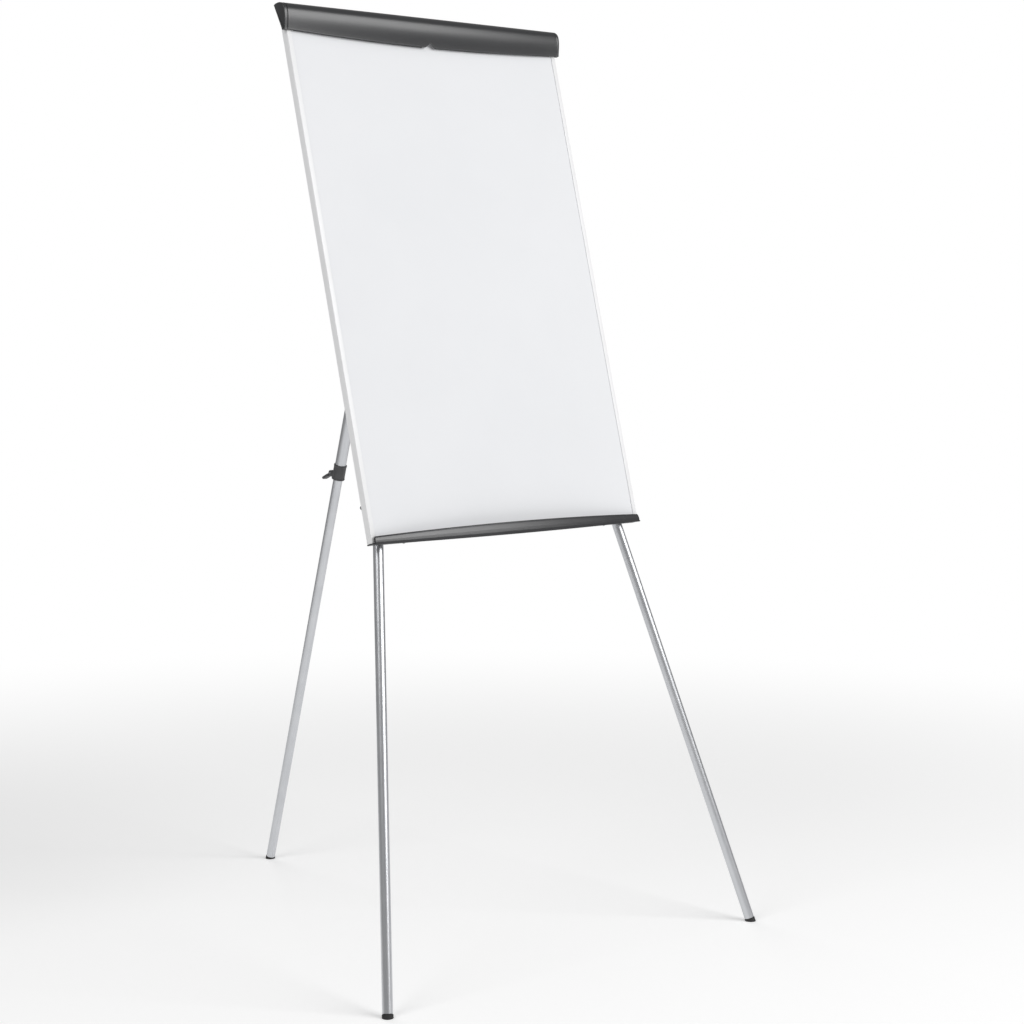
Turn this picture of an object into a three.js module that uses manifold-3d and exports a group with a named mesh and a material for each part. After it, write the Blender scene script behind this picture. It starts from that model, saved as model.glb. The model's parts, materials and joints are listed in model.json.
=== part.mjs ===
// A flipchart easel: a framed whiteboard with a sprung pad clip and a marker tray,
// standing on three telescopic legs. Millimetres, +Z up, the board's front faces -Y.
import * as THREE from 'three';
import { mergeVertices } from 'three/addons/utils/BufferGeometryUtils.js';
import Module from 'manifold-3d';

const wasm = await Module();
wasm.setup();

// ---- Driving dimensions ----

// Where the board stands
const boardTilt = THREE.MathUtils.degToRad(15.2);
const boardBottomHeight = 832;

// Panel and frame
const boardWidth = 690;
const boardHeight = 1050;
const frameDepth = 17;
const frameStrip = 10;
const frameWall = 1.5;
const frameLip = 1.2;
const sheetThickness = 0.4;
const coreThickness = 9;
const backSheetThickness = 0.3;

// Gap between pieces that touch, and between pieces that turn or slide in each other
const fitGap = 0.3;
const runGap = 0.4;

// Marker tray
const trayThickness = 2.5;
const trayEndReach = 6;
const trayMiddleReach = 25;
const trayLipThickness = 2.5;
const trayLipEndHeight = 16;
const trayLipMiddleHeight = 25;
const trayLipInset = 3;
const trayLipBelly = 1.2;
const trayLipEase = 0.4;
const trayLipShoulder = 5;

// Pad clip: a hood that turns about a pin along the board's top edge
const clipWall = 2.2;
const clipReach = 20;
const clipEndShare = 0.72;
const clipHeight = 67;
const clipEndRise = 10;
const clipOverhang = 8;
const clipPinRadius = 2;
const clipPinDepth = 13;
const clipPinRise = 8;
const clipBarrelRadius = 7.2;
const clipBarrelEdgeAngle = THREE.MathUtils.degToRad(10);
const clipBrowDrop = 24;
const clipBrowRound = 6;
const clipBellyDrop = 13.4;
const clipBellyReach = 12;
const clipLipPull = 14.7;
const clipLipGap = 6.5;
const capEdgeAngle = THREE.MathUtils.degToRad(45);
const capBackDepth = 4;
const capPinDepth = 5.6;
const notchWidth = 20;
const notchHeight = 6;
const knuckleRadius = 4.2;
const knuckleWidth = 20;
const knuckleStemWidth = 5;
const knuckleInset = 55;
const knuckleInner = 110;
const railThickness = 2;
const railLipGap = 5.8;
const railMargin = 6;
const gripInset = 15;
const gripHeight = 8;
const gripBow = 6;
const springPlace = 200;
const springWireRadius = 0.6;
const springRadius = 3.4;
const springTurns = 6;
const springPitch = 1.7;

// Pegs that the pad's punched holes hang on
const pegInset = 130;
const pegTravelIn = 90;
const pegTravelOut = 80;
const pegSlotHeight = 4;
const pegRise = 10;
const pegRadius = 3.5;
const pegTipGap = 0.6;
const pegFlangeRadius = 4;
const pegFlangeThickness = 1;
const pegTipRound = 1;

// Leg tubes
const lowerTubeRadius = 10;
const lowerTubeWall = 1;
const upperTubeWall = 1.2;
const tubeGap = 0.8;
const upperLength = 892;
const tubeOverlap = 150;

// Leg pivots on the hub at the back of the board
const pivotDrop = 65;
const frontLegInset = 35;
const frontLegGap = 2;
const frontLegSplay = THREE.MathUtils.degToRad(10.8);
const frontLegLean = THREE.MathUtils.degToRad(0.93);
const rearPivotDepth = 60;
const rearLegLean = THREE.MathUtils.degToRad(17.26);
const headTop = 18;
const headMargin = 1;
const headPlugLength = 25;
const frontPivotRadius = 3;
const frontPivotShank = 5;
const frontPivotFlange = 9;
const rearPivotRadius = 4;
const rivetHeight = 3;
const rivetMargin = 3;
const hubMargin = 38;
const hubHeight = 90;
const hubThickness = 2.5;
const hubCorner = 12;
const cheekThickness = 3;
const cheekRadius = 14;
const cheekRootRise = 22;

// Screws
const screwRadius = 2;
const screwHeadRadius = 4.5;
const screwHeadHeight = 2.4;
const screwHeadRound = 0.7;
const screwLength = 9;
const hubScrewInset = 14;
const trayScrewRadius = 1.3;
const trayScrewHeadRadius = 2.4;
const trayScrewHeadHeight = 1.6;
const trayScrewLength = 8;
const trayScrewInset = 85;

// Saddles that the open front legs rest against
const saddleHeight = 175;
const saddleLength = 34;
const saddleWall = 5;
const saddleBase = 4;
const saddleReach = 6;
const saddleWidth = 44;

// Clamp collars and their cam levers
const collarWall = 2;
const collarLength = 34;
const collarNeck = 16;
const collarSlit = 2;
const collarChamfer = 1;
const collarWaist = 0.5;
const collarRim = 2;
const leverHeadGap = 1.7;
const leverPinDrop = 9;
const leverPinRadius = 1.5;
const lugThickness = 3.5;
const lugRadius = 6;
const leverWidth = 8;
const leverHeadRadius = 6;
const leverLength = 36.5;
const leverDroop = THREE.MathUtils.degToRad(40);
const leverThickness = 7;
const leverPaddleWidth = 14;
const leverPaddleStart = 11;
const leverTipThickness = 6;

// Feet and slide bushes
const footMargin = 0.8;
const footAxisHeight = 7;
const footChamfer = 1.2;
const plugLength = 22;
const bushHeight = 6;

// Fineness of round shapes
const tubeSides = 20;
const smallSides = 10;
const arcSteps = 6;
const bowSteps = 14;
const springSteps = 8;

// ---- Values worked out from the driving dimensions ----

const halfWidth = boardWidth / 2;
const panelFront = frameLip + fitGap;
const coreFront = panelFront + sheetThickness + fitGap;
const backSheetFront = coreFront + coreThickness + fitGap;
const panelBack = backSheetFront + backSheetThickness;
const grooveEnd = panelBack + fitGap;
const panelInset = frameWall + fitGap;
const lowerBore = lowerTubeRadius - lowerTubeWall;
const upperBore = lowerTubeRadius + tubeGap;
const upperTubeRadius = upperBore + upperTubeWall;
const footRadius = lowerTubeRadius + footMargin;
const plugRadius = upperBore - fitGap;
const headWidth = 2 * plugRadius + headMargin;
const collarRadius = upperTubeRadius + fitGap + collarWall;
const leverPinOut = collarRadius + leverHeadGap + leverHeadRadius;
const lugGap = leverWidth + 2 * fitGap;
const clipPinHeight = boardHeight + clipPinRise;
const clipTop = clipPinHeight + clipBarrelRadius;
const clipBottom = clipTop - clipHeight;
const trayScrewPlaces = [-1, 0, 1].map((side) => side * (halfWidth - trayScrewInset));
const hubFront = panelBack + fitGap;
const hubBack = hubFront + hubThickness;
const railBack = -fitGap;
const railFront = railBack - railThickness;
const railLow = clipBottom + clipEndRise + gripHeight + railLipGap;
const knucklePlaces = [-1, 1].flatMap((side) => [side * knuckleInner, side * (halfWidth - knuckleInset)]);
const pegPlace = halfWidth - pegInset;
const pegHeight = railLow + pegRise;
const pegShoulder = fitGap - railFront;
const pegTip = clipReach * clipEndShare - clipWall - pegTipGap;

// The front legs pass behind the bottom rail and lean in towards their pivots on the hub
const pivotHeight = boardHeight - pivotDrop;
const frontPivotDepth = frameDepth + frontLegGap + lowerTubeRadius + pivotHeight * Math.sin(frontLegLean);
const frontPivotSpread = halfWidth - frontLegInset - pivotHeight * Math.tan(frontLegSplay);
const hubWidth = 2 * (frontPivotSpread + hubMargin);

// ---- Shape helpers ----

// Extrusion maps: a section drawn in (y, z) runs along x, and one drawn in (x, z) runs along -y.
const alongX = new THREE.Matrix4().makeBasis(
  new THREE.Vector3(0, 1, 0),
  new THREE.Vector3(0, 0, 1),
  new THREE.Vector3(1, 0, 0)
);
const alongMinusY = new THREE.Matrix4().makeRotationX(Math.PI / 2);

function shapeFrom(points) {
  return new THREE.Shape(points.map(([a, b]) => new THREE.Vector2(a, b)));
}

function extrude(shape, depth, steps = 1) {
  return new THREE.ExtrudeGeometry(shape, { depth, steps, curveSegments: arcSteps, bevelEnabled: false });
}

// A section in (y, z), run along x and centred on x = 0
function barAlongX(shape, length, steps = 1) {
  return extrude(shape, length, steps).translate(0, 0, -length / 2).applyMatrix4(alongX);
}

// A plate outlined in (x, z), whose front is at yFront
function plateAt(shape, yFront, thickness) {
  return extrude(shape, thickness).applyMatrix4(alongMinusY).translate(0, yFront + thickness, 0);
}

function boxBetween(low, high) {
  const size = high.map((value, axis) => value - low[axis]);
  const middle = high.map((value, axis) => (value + low[axis]) / 2);
  return new THREE.BoxGeometry(...size).translate(...middle);
}

// A turned solid about z from a profile of [radius, z], listed from the bottom up
function turned(profile, sides = tubeSides) {
  const points = profile.map(([radius, height]) => new THREE.Vector2(radius, height));
  return new THREE.LatheGeometry(points, sides).rotateX(Math.PI / 2);
}

function tube(outer, inner, bottom, top) {
  return turned([[inner, bottom], [outer, bottom], [outer, top], [inner, top], [inner, bottom]]);
}

function rod(radius, bottom, top, sides = smallSides) {
  return turned([[0, bottom], [radius, bottom], [radius, top], [0, top]], sides);
}

const towardsX = (geometry) => geometry.rotateY(Math.PI / 2);
const towardsY = (geometry) => geometry.rotateX(-Math.PI / 2);

function roundedRectangle(width, height, radius) {
  const shape = new THREE.Shape();
  const x = width / 2 - radius;
  const y = height / 2 - radius;
  shape.absarc(x, y, radius, 0, Math.PI / 2);
  shape.absarc(-x, y, radius, Math.PI / 2, Math.PI);
  shape.absarc(-x, -y, radius, Math.PI, 1.5 * Math.PI);
  shape.absarc(x, -y, radius, 1.5 * Math.PI, 2 * Math.PI);
  return shape;
}

// Moves every vertex by a rule that takes and returns [x, y, z]
function reshape(geometry, rule) {
  const position = geometry.getAttribute('position');
  for (let i = 0; i < position.count; i += 1) {
    position.setXYZ(i, ...rule(position.getX(i), position.getY(i), position.getZ(i)));
  }
  return geometry;
}

// A line moved sideways by a distance, to its right as it runs
function offsetLine(points, distance) {
  return points.map((point, i) => {
    const before = points[Math.max(i - 1, 0)];
    const after = points[Math.min(i + 1, points.length - 1)];
    const along = after.clone().sub(before).normalize();
    return new THREE.Vector2(point.x + along.y * distance, point.y - along.x * distance);
  });
}

// ---- Joining and cutting ----

function toSolid(geometry) {
  const bare = geometry.clone();
  bare.deleteAttribute('normal');
  bare.deleteAttribute('uv');
  const merged = mergeVertices(bare, 1e-4);
  const corners = merged.getIndex().array;
  const triVerts = [];
  for (let i = 0; i < corners.length; i += 3) {
    const [a, b, c] = corners.slice(i, i + 3);
    if (a !== b && b !== c && c !== a) {
      triVerts.push(a, b, c);
    }
  }
  return new wasm.Manifold(new wasm.Mesh({
    numProp: 3,
    vertProperties: merged.getAttribute('position').array,
    triVerts: new Uint32Array(triVerts)
  }));
}

function toGeometry(solid) {
  const mesh = solid.getMesh();
  const geometry = new THREE.BufferGeometry();
  geometry.setAttribute('position', new THREE.BufferAttribute(mesh.vertProperties, 3));
  geometry.setIndex(new THREE.BufferAttribute(mesh.triVerts, 1));
  geometry.computeVertexNormals();
  return geometry;
}

function join(...geometries) {
  return toGeometry(geometries.map(toSolid).reduce((sum, next) => sum.add(next)));
}

function cut(geometry, ...tools) {
  return toGeometry(tools.map(toSolid).reduce((rest, tool) => rest.subtract(tool), toSolid(geometry)));
}

function keepInside(geometry, limit) {
  return toGeometry(toSolid(geometry).intersect(toSolid(limit)));
}

// ---- Materials ----

const finishes = {
  writingSurface: [0xeaebed, 0.25, 0],
  core: [0xa88c66, 0.9, 0],
  backSheet: [0xc9cbcd, 0.5, 0.8],
  frame: [0xf1f1f1, 0.45, 0],
  darkPlastic: [0x4c4d50, 0.45, 0],
  blackPlastic: [0x2c2c2e, 0.5, 0],
  rubber: [0x1c1c1c, 0.9, 0],
  aluminium: [0xb7bac0, 0.32, 1],
  steel: [0xa9abae, 0.35, 1]
};

function addPart(parent, name, geometry, finish) {
  const [color, roughness, metalness] = finishes[finish];
  const part = new THREE.Mesh(geometry, new THREE.MeshStandardMaterial({ color, roughness, metalness }));
  part.name = name;
  parent.add(part);
  return part;
}

function addGroup(parent, position, rotation = [0, 0, 0]) {
  const group = new THREE.Group();
  group.position.set(...position);
  group.rotation.set(...rotation);
  parent.add(group);
  return group;
}

// ---- Screws ----

// A dome-headed screw along +z: its head sits above z = 0 and its shank runs down
function screw(radius, headRadius, headHeight, length) {
  return turned([
    [0, -length],
    [radius / 2, -length],
    [radius, -length + radius],
    [radius, 0],
    [headRadius, 0],
    [headRadius - screwHeadRound, headHeight - screwHeadRound],
    [0, headHeight]
  ], smallSides);
}

const hubScrewPlaces = [-1, 1].flatMap((side) => [-1, 1].map((level) => [
  side * (hubWidth / 2 - hubScrewInset),
  pivotHeight + level * (hubHeight / 2 - hubScrewInset)
]));

// Where a front leg's axis crosses a height of the board, in the board's own frame
function frontLegAt(height) {
  const down = (pivotHeight - height) / Math.cos(frontLegLean);
  return {
    x: frontPivotSpread + down * Math.tan(frontLegSplay),
    depth: frontPivotDepth - down * Math.sin(frontLegLean),
    along: down / Math.cos(frontLegSplay)
  };
}

const saddlePlace = frontLegAt(saddleHeight);
const saddleFront = -(saddlePlace.depth - panelBack - runGap);
const saddleInner = upperTubeRadius + fitGap;
const saddleMiddle = saddleInner + saddleWall - saddleWidth / 2;
const saddleScrewOut = upperTubeRadius + 2 * screwRadius;

// ---- Panel, frame and tray ----

// A hole along y through the sheets behind the writing surface
function sheetHole(radius, x, z) {
  return towardsY(rod(radius, panelBack - screwLength, panelBack + 1)).translate(x, 0, z);
}

// The saddle's screw lies inwards of the leg, so it sits a little lower than the saddle's middle
function screwHoles() {
  const hub = hubScrewPlaces.map(([x, z]) => sheetHole(screwRadius + fitGap, x, z));
  const x = saddlePlace.x - saddleScrewOut * Math.cos(frontLegSplay);
  const z = saddleHeight - saddleScrewOut * Math.sin(frontLegSplay);
  const saddles = [-1, 1].map((side) => sheetHole(screwRadius + 2 * fitGap, side * x, z));
  return [...hub, ...saddles];
}

function panelOutline() {
  const half = halfWidth - panelInset;
  return shapeFrom([[-half, panelInset], [half, panelInset],
    [half, boardHeight - panelInset], [-half, boardHeight - panelInset]]);
}

function addPanel(board) {
  const holes = screwHoles();
  addPart(board, 'face_sheet', plateAt(panelOutline(), panelFront, sheetThickness), 'writingSurface');
  addPart(board, 'core_board', cut(plateAt(panelOutline(), coreFront, coreThickness), ...holes), 'core');
  addPart(board, 'back_sheet',
    cut(plateAt(panelOutline(), backSheetFront, backSheetThickness), ...holes), 'backSheet');
}

// The frame's section, with its outer wall at 0 and its groove opening towards +
function frameSection() {
  return [
    [0, 0],
    [frameStrip, 0],
    [frameStrip, frameLip],
    [frameWall, frameLip],
    [frameWall, grooveEnd],
    [frameStrip, grooveEnd],
    [frameStrip, frameDepth],
    [0, frameDepth]
  ];
}

function trayScrewDepth() {
  return (grooveEnd + frameDepth) / 2;
}

function trayScrewTools(radius) {
  return trayScrewPlaces.map((x) => (
    rod(radius, -trayThickness - 2 * fitGap, trayScrewLength + 1).translate(x, trayScrewDepth(), 0)
  ));
}

function addFrame(board) {
  const side = frameSection();
  const leftShape = shapeFrom(side.map(([a, b]) => [a - halfWidth, b]));
  const rightShape = shapeFrom(side.map(([a, b]) => [halfWidth - a, b]));
  addPart(board, 'frame_left', extrude(leftShape, boardHeight), 'frame');
  addPart(board, 'frame_right', extrude(rightShape, boardHeight), 'frame');
  const crossLength = boardWidth - 2 * (frameStrip + fitGap);
  const bottomShape = shapeFrom(side.map(([a, b]) => [b, a]));
  const topShape = shapeFrom(side.map(([a, b]) => [b, boardHeight - a]));
  const bottom = cut(barAlongX(bottomShape, crossLength), ...trayScrewTools(trayScrewRadius + fitGap));
  addPart(board, 'frame_bottom', bottom, 'frame');
  addPart(board, 'frame_top', barAlongX(topShape, crossLength), 'frame');
}

// 1 at the middle of a length and 0 at its two ends, along a parabola
function bow(x, half) {
  return 1 - (x / half) ** 2;
}

function trayGeometry() {
  const droop = Math.tan(boardTilt);
  const reachAt = (x) => trayEndReach + (trayMiddleReach - trayEndReach) * bow(x, halfWidth);
  const top = -fitGap;
  const bottom = top - trayThickness;
  const reach = trayMiddleReach;
  const baseShape = shapeFrom([
    [frameDepth, top], [frameDepth, bottom], [0, bottom],
    [-reach, bottom - reach * droop], [-reach, top - reach * droop], [0, top]
  ]);
  const pullBack = (x, y, z) => {
    const shift = y < -1 ? reach - reachAt(x) : 0;
    return [x, y + shift, z + shift * droop];
  };
  const base = reshape(barAlongX(baseShape, boardWidth, bowSteps), pullBack);

  // The lip's outer face is a shallow belly, and its foot sinks into the base
  const foot = bottom - reach * droop;
  const height = trayLipMiddleHeight;
  const lipShape = shapeFrom([
    [-reach, foot], [-reach + trayLipThickness, foot],
    [-reach + trayLipThickness, foot + height], [-reach + trayLipEase, foot + height],
    [-reach - trayLipEase * 2, foot + height - trayLipShoulder],
    [-reach - trayLipBelly, foot + height / 2],
    [-reach - trayLipEase * 2, foot + trayLipShoulder]
  ]);
  const riseAt = (x) => trayLipEndHeight / height + (1 - trayLipEndHeight / height) * bow(x, halfWidth);
  const bend = (x, y, z) => {
    const shift = reach - reachAt(x);
    return [x, y + shift, foot + shift * droop + (z - foot) * riseAt(x)];
  };
  const lip = reshape(barAlongX(lipShape, boardWidth - 2 * trayLipInset, bowSteps), bend);
  return cut(join(base, lip), ...trayScrewTools(trayScrewRadius + fitGap));
}

function addTray(board) {
  addPart(board, 'marker_tray', trayGeometry(), 'darkPlastic');
  const seat = -trayThickness - 2 * fitGap;
  trayScrewPlaces.forEach((x, i) => {
    const piece = screw(trayScrewRadius, trayScrewHeadRadius, trayScrewHeadHeight, trayScrewLength);
    const part = addPart(board, `tray_screw_${i + 1}`, piece.rotateX(Math.PI), 'steel');
    part.position.set(x, trayScrewDepth(), seat);
  });
}

// ---- Pad clip ----

// The hood's outer line in (y, z), from its rear edge over the top to its lower lip
function hoodLine(edgeAngle = clipBarrelEdgeAngle) {
  const path = new THREE.Path();
  path.absarc(clipPinDepth, clipPinHeight, clipBarrelRadius, edgeAngle, Math.PI / 2, false);
  const brow = clipTop - clipBrowDrop;
  path.bezierCurveTo(0, clipTop, -clipReach, clipTop - clipBrowRound, -clipReach, brow);
  path.bezierCurveTo(
    -clipReach, brow - clipBellyDrop,
    -clipBellyReach, clipBottom + clipLipPull,
    -clipLipGap, clipBottom
  );
  return path.getPoints(arcSteps);
}

// Towards its ends the hood reaches less far forward and its lower lip rises
function hoodRule(x, y, z) {
  const share = clipEndShare + (1 - clipEndShare) * bow(x, halfWidth);
  const forward = y < 0 ? y * share : y;
  const fall = Math.max(0, clipTop - z) / clipHeight;
  const rise = clipEndRise * (1 - bow(x, halfWidth)) * fall;
  return [x, forward, z + rise];
}

function hoodGeometry() {
  const outer = hoodLine();
  const inner = offsetLine(outer, -clipWall).reverse();
  const shape = new THREE.Shape([...outer, ...inner]);
  const hood = reshape(barAlongX(shape, boardWidth, bowSteps), hoodRule);
  const notchShape = shapeFrom([
    [-notchWidth / 2, clipBottom - clipWall], [notchWidth / 2, clipBottom - clipWall],
    [notchWidth / 2, clipBottom], [0, clipBottom + notchHeight], [-notchWidth / 2, clipBottom]
  ]);
  return cut(hood, plateAt(notchShape, -clipReach, clipReach));
}

// The cap's outline in (y, z): the hood's line at its end, closed across the board's side
function capShape() {
  const front = hoodLine(capEdgeAngle).map((point) => {
    const [, y, z] = hoodRule(halfWidth, point.x, point.y);
    return new THREE.Vector2(y, z);
  });
  const lip = front[front.length - 1];
  return new THREE.Shape([...front, new THREE.Vector2(capBackDepth, lip.y)]);
}

function capGeometry() {
  const body = extrude(capShape(), clipOverhang).applyMatrix4(alongX);
  const bore = towardsX(rod(clipPinRadius + fitGap, -1, capPinDepth));
  return cut(body, bore.translate(0, clipPinDepth, clipPinHeight));
}

function addClip(board) {
  addPart(board, 'clip_bar', hoodGeometry(), 'darkPlastic');
  const right = addPart(board, 'clip_cap_right', capGeometry(), 'darkPlastic');
  right.position.x = halfWidth + fitGap;
  const mirrored = toGeometry(toSolid(capGeometry()).mirror([1, 0, 0]));
  const left = addPart(board, 'clip_cap_left', mirrored, 'darkPlastic');
  left.position.x = -halfWidth - fitGap;

  const pinHalf = halfWidth + fitGap + capPinDepth - runGap;
  const pin = towardsX(rod(clipPinRadius, -pinHalf, pinHalf));
  addPart(board, 'clip_pin', pin.translate(0, clipPinDepth, clipPinHeight), 'steel');

  // The rubber strip follows the inside of the lower lip
  const inside = offsetLine(hoodLine(), -clipWall - fitGap);
  const lipPart = inside.filter((point) => point.y > clipBottom && point.y < clipBottom + gripHeight + gripBow);
  const lowest = lipPart[lipPart.length - 1];
  const back = panelFront - fitGap;
  const strip = new THREE.Shape([
    ...lipPart,
    new THREE.Vector2(back, lowest.y),
    new THREE.Vector2(back, lowest.y + gripHeight)
  ]);
  const stripBar = barAlongX(strip, boardWidth - 2 * gripInset, bowSteps);
  addPart(board, 'grip_strip', reshape(stripBar, hoodRule), 'rubber');
}

// ---- Fixed rail, springs and pad pegs under the hood ----

function railGeometry() {
  const top = boardHeight + fitGap + railThickness;
  const angleShape = shapeFrom([
    [railFront, railLow], [railBack, railLow], [railBack, boardHeight + fitGap],
    [frameDepth, boardHeight + fitGap], [frameDepth, top], [railFront, top]
  ]);
  const angle = barAlongX(angleShape, boardWidth - 2 * railMargin);
  const stem = knuckleStemWidth / 2;
  const knuckles = knucklePlaces.flatMap((x) => {
    const barrel = towardsX(rod(knuckleRadius, -knuckleWidth / 2, knuckleWidth / 2));
    const post = boxBetween(
      [x - knuckleWidth / 2, clipPinDepth - stem, top - railThickness / 2],
      [x + knuckleWidth / 2, clipPinDepth + stem, clipPinHeight]
    );
    return [barrel.translate(x, clipPinDepth, clipPinHeight), post];
  });
  const bore = towardsX(rod(clipPinRadius + fitGap, -halfWidth, halfWidth));
  const slots = [-1, 1].map((side) => {
    const inner = pegPlace - pegTravelIn - pegSlotHeight / 2;
    const outer = pegPlace + pegTravelOut + pegSlotHeight / 2;
    const slot = roundedRectangle(outer - inner, pegSlotHeight, pegSlotHeight / 2);
    return plateAt(slot, railFront - 1, railThickness + 2)
      .translate(side * (inner + outer) / 2, 0, pegHeight);
  });
  return cut(join(angle, ...knuckles), bore.translate(0, clipPinDepth, clipPinHeight), ...slots);
}

class SpringCurve extends THREE.Curve {
  getPoint(share, target = new THREE.Vector3()) {
    const angle = share * springTurns * 2 * Math.PI;
    const along = (share - 0.5) * springTurns * springPitch;
    return target.set(along, springRadius * Math.cos(angle), springRadius * Math.sin(angle));
  }
}

function springGeometry() {
  const wire = new THREE.Shape();
  wire.absarc(0, 0, springWireRadius, 0, 2 * Math.PI);
  return new THREE.ExtrudeGeometry(wire, {
    steps: springTurns * springSteps,
    curveSegments: 3,
    extrudePath: new SpringCurve()
  });
}

function addRail(board) {
  addPart(board, 'clip_rail', railGeometry(), 'steel');
  ['left', 'right'].forEach((side, i) => {
    const spring = addPart(board, `clip_spring_${side}`, springGeometry(), 'steel');
    spring.position.set((2 * i - 1) * springPlace, clipPinDepth, clipPinHeight);
  });
  const neck = pegSlotHeight / 2 - fitGap;
  const flangeBack = panelFront - fitGap;
  const flangeFront = flangeBack - pegFlangeThickness;
  const profile = [
    [0, -flangeBack], [pegFlangeRadius, -flangeBack], [pegFlangeRadius, -flangeFront],
    [neck, -flangeFront], [neck, pegShoulder], [pegRadius, pegShoulder],
    [pegRadius, pegTip - pegTipRound], [pegRadius - pegTipRound, pegTip], [0, pegTip]
  ];
  [['left', -1], ['right', 1]].forEach(([name, side]) => {
    const peg = turned(profile, smallSides).applyMatrix4(alongMinusY);
    const part = addPart(board, `pad_peg_${name}`, peg, 'blackPlastic');
    part.position.set(side * pegPlace, 0, pegHeight);
  });
}

// ---- Hub at the back of the board ----

function hubGeometry() {
  const plate = plateAt(roundedRectangle(hubWidth, hubHeight, hubCorner), hubFront, hubThickness);
  const inner = headWidth / 2 + runGap;
  const cheekOutline = new THREE.Shape();
  cheekOutline.moveTo(hubBack - hubThickness / 2, -cheekRootRise);
  cheekOutline.lineTo(rearPivotDepth, -cheekRadius);
  cheekOutline.absarc(rearPivotDepth, 0, cheekRadius, -Math.PI / 2, Math.PI / 2, false);
  cheekOutline.lineTo(hubBack - hubThickness / 2, cheekRootRise);
  const cheeks = [-1, 1].map((side) => (
    barAlongX(cheekOutline, cheekThickness).translate(side * (inner + cheekThickness / 2), 0, 0)
  ));
  const bore = towardsX(rod(rearPivotRadius + fitGap, -hubWidth, hubWidth));
  const holes = hubScrewPlaces.map(([x, z]) => (
    towardsY(rod(screwRadius + fitGap, 0, frameDepth)).translate(x, 0, z - pivotHeight)
  ));
  const body = cut(join(plate, ...cheeks), bore.translate(0, rearPivotDepth, 0), ...holes);
  return body.translate(0, 0, pivotHeight);
}

// A rivet that a front leg's head turns on, along +y with y = 0 at the leg's axis
function frontPivotGeometry() {
  const root = -(frontPivotDepth - hubBack) + runGap;
  const seat = -headWidth / 2 - fitGap;
  const cap = headWidth / 2 + fitGap;
  return towardsY(turned([
    [0, root], [frontPivotFlange, root], [frontPivotFlange, root + rivetHeight],
    [frontPivotShank, root + rivetHeight], [frontPivotShank, seat],
    [frontPivotRadius, seat], [frontPivotRadius, cap],
    [frontPivotRadius + rivetMargin, cap], [frontPivotRadius + rivetMargin, cap + rivetHeight / 2],
    [frontPivotRadius, cap + rivetHeight], [0, cap + rivetHeight]
  ], smallSides));
}

function rearPivotGeometry() {
  const cap = headWidth / 2 + runGap + cheekThickness + fitGap;
  const head = rearPivotRadius + rivetMargin;
  return towardsX(turned([
    [0, -cap - rivetHeight], [rearPivotRadius, -cap - rivetHeight], [head, -cap - rivetHeight / 2],
    [head, -cap], [rearPivotRadius, -cap], [rearPivotRadius, cap],
    [head, cap], [head, cap + rivetHeight / 2], [rearPivotRadius, cap + rivetHeight],
    [0, cap + rivetHeight]
  ], smallSides));
}

function addHub(board) {
  addPart(board, 'hub_bracket', hubGeometry(), 'steel');
  hubScrewPlaces.forEach(([x, z], i) => {
    const piece = towardsY(screw(screwRadius, screwHeadRadius, screwHeadHeight, screwLength));
    const part = addPart(board, `hub_screw_${i + 1}`, piece, 'steel');
    part.position.set(x, hubBack + fitGap, z);
  });
}

// ---- Legs ----

// The head at a tube's top end: an eye about the pivot and a plug down the bore
function headGeometry(eyeAlongX, boreRadius) {
  const half = upperTubeRadius;
  const eye = new THREE.Shape();
  eye.absarc(0, 0, half, 0, Math.PI, false);
  eye.lineTo(-half, -headTop + fitGap);
  eye.lineTo(half, -headTop + fitGap);
  const bore = rod(boreRadius, -headWidth, headWidth, tubeSides);
  const plug = rod(plugRadius, -headTop - headPlugLength, -headTop / 2, tubeSides);
  if (eyeAlongX) {
    return cut(join(barAlongX(eye, headWidth), plug), towardsX(bore));
  }
  return cut(join(plateAt(eye, -headWidth / 2, headWidth), plug), towardsY(bore));
}

// The clamp collar: it grips the upper tube, and its neck closes round the lower tube
function collarGeometry() {
  const bottom = -collarNeck;
  const top = collarLength - collarNeck;
  const step = -fitGap;
  const sleeve = turned([
    [lowerTubeRadius + fitGap, bottom], [collarRadius - collarChamfer, bottom],
    [collarRadius, bottom + collarChamfer], [collarRadius - collarWaist, top - collarRim],
    [collarRadius, top], [upperTubeRadius + fitGap, top],
    [upperTubeRadius + fitGap, step], [lowerTubeRadius + fitGap, step],
    [lowerTubeRadius + fitGap, bottom]
  ]);
  const lugs = [-1, 1].map((side) => {
    const lug = new THREE.Shape();
    const root = collarRadius - collarWall + fitGap;
    lug.moveTo(root, -leverPinDrop - lugRadius);
    lug.lineTo(leverPinOut, -leverPinDrop - lugRadius);
    lug.absarc(leverPinOut, -leverPinDrop, lugRadius, -Math.PI / 2, Math.PI / 2, false);
    lug.lineTo(root, lugRadius - leverPinDrop);
    return barAlongX(lug, lugThickness).translate(side * (lugGap + lugThickness) / 2, 0, 0);
  });
  const slit = boxBetween(
    [-collarSlit / 2, 0, bottom - 1],
    [collarSlit / 2, collarRadius + 1, top + 1]
  );
  const pinBore = towardsX(rod(leverPinRadius + fitGap, -collarRadius, collarRadius));
  return cut(join(sleeve, ...lugs), slit, pinBore.translate(0, leverPinOut, -leverPinDrop));
}

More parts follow.
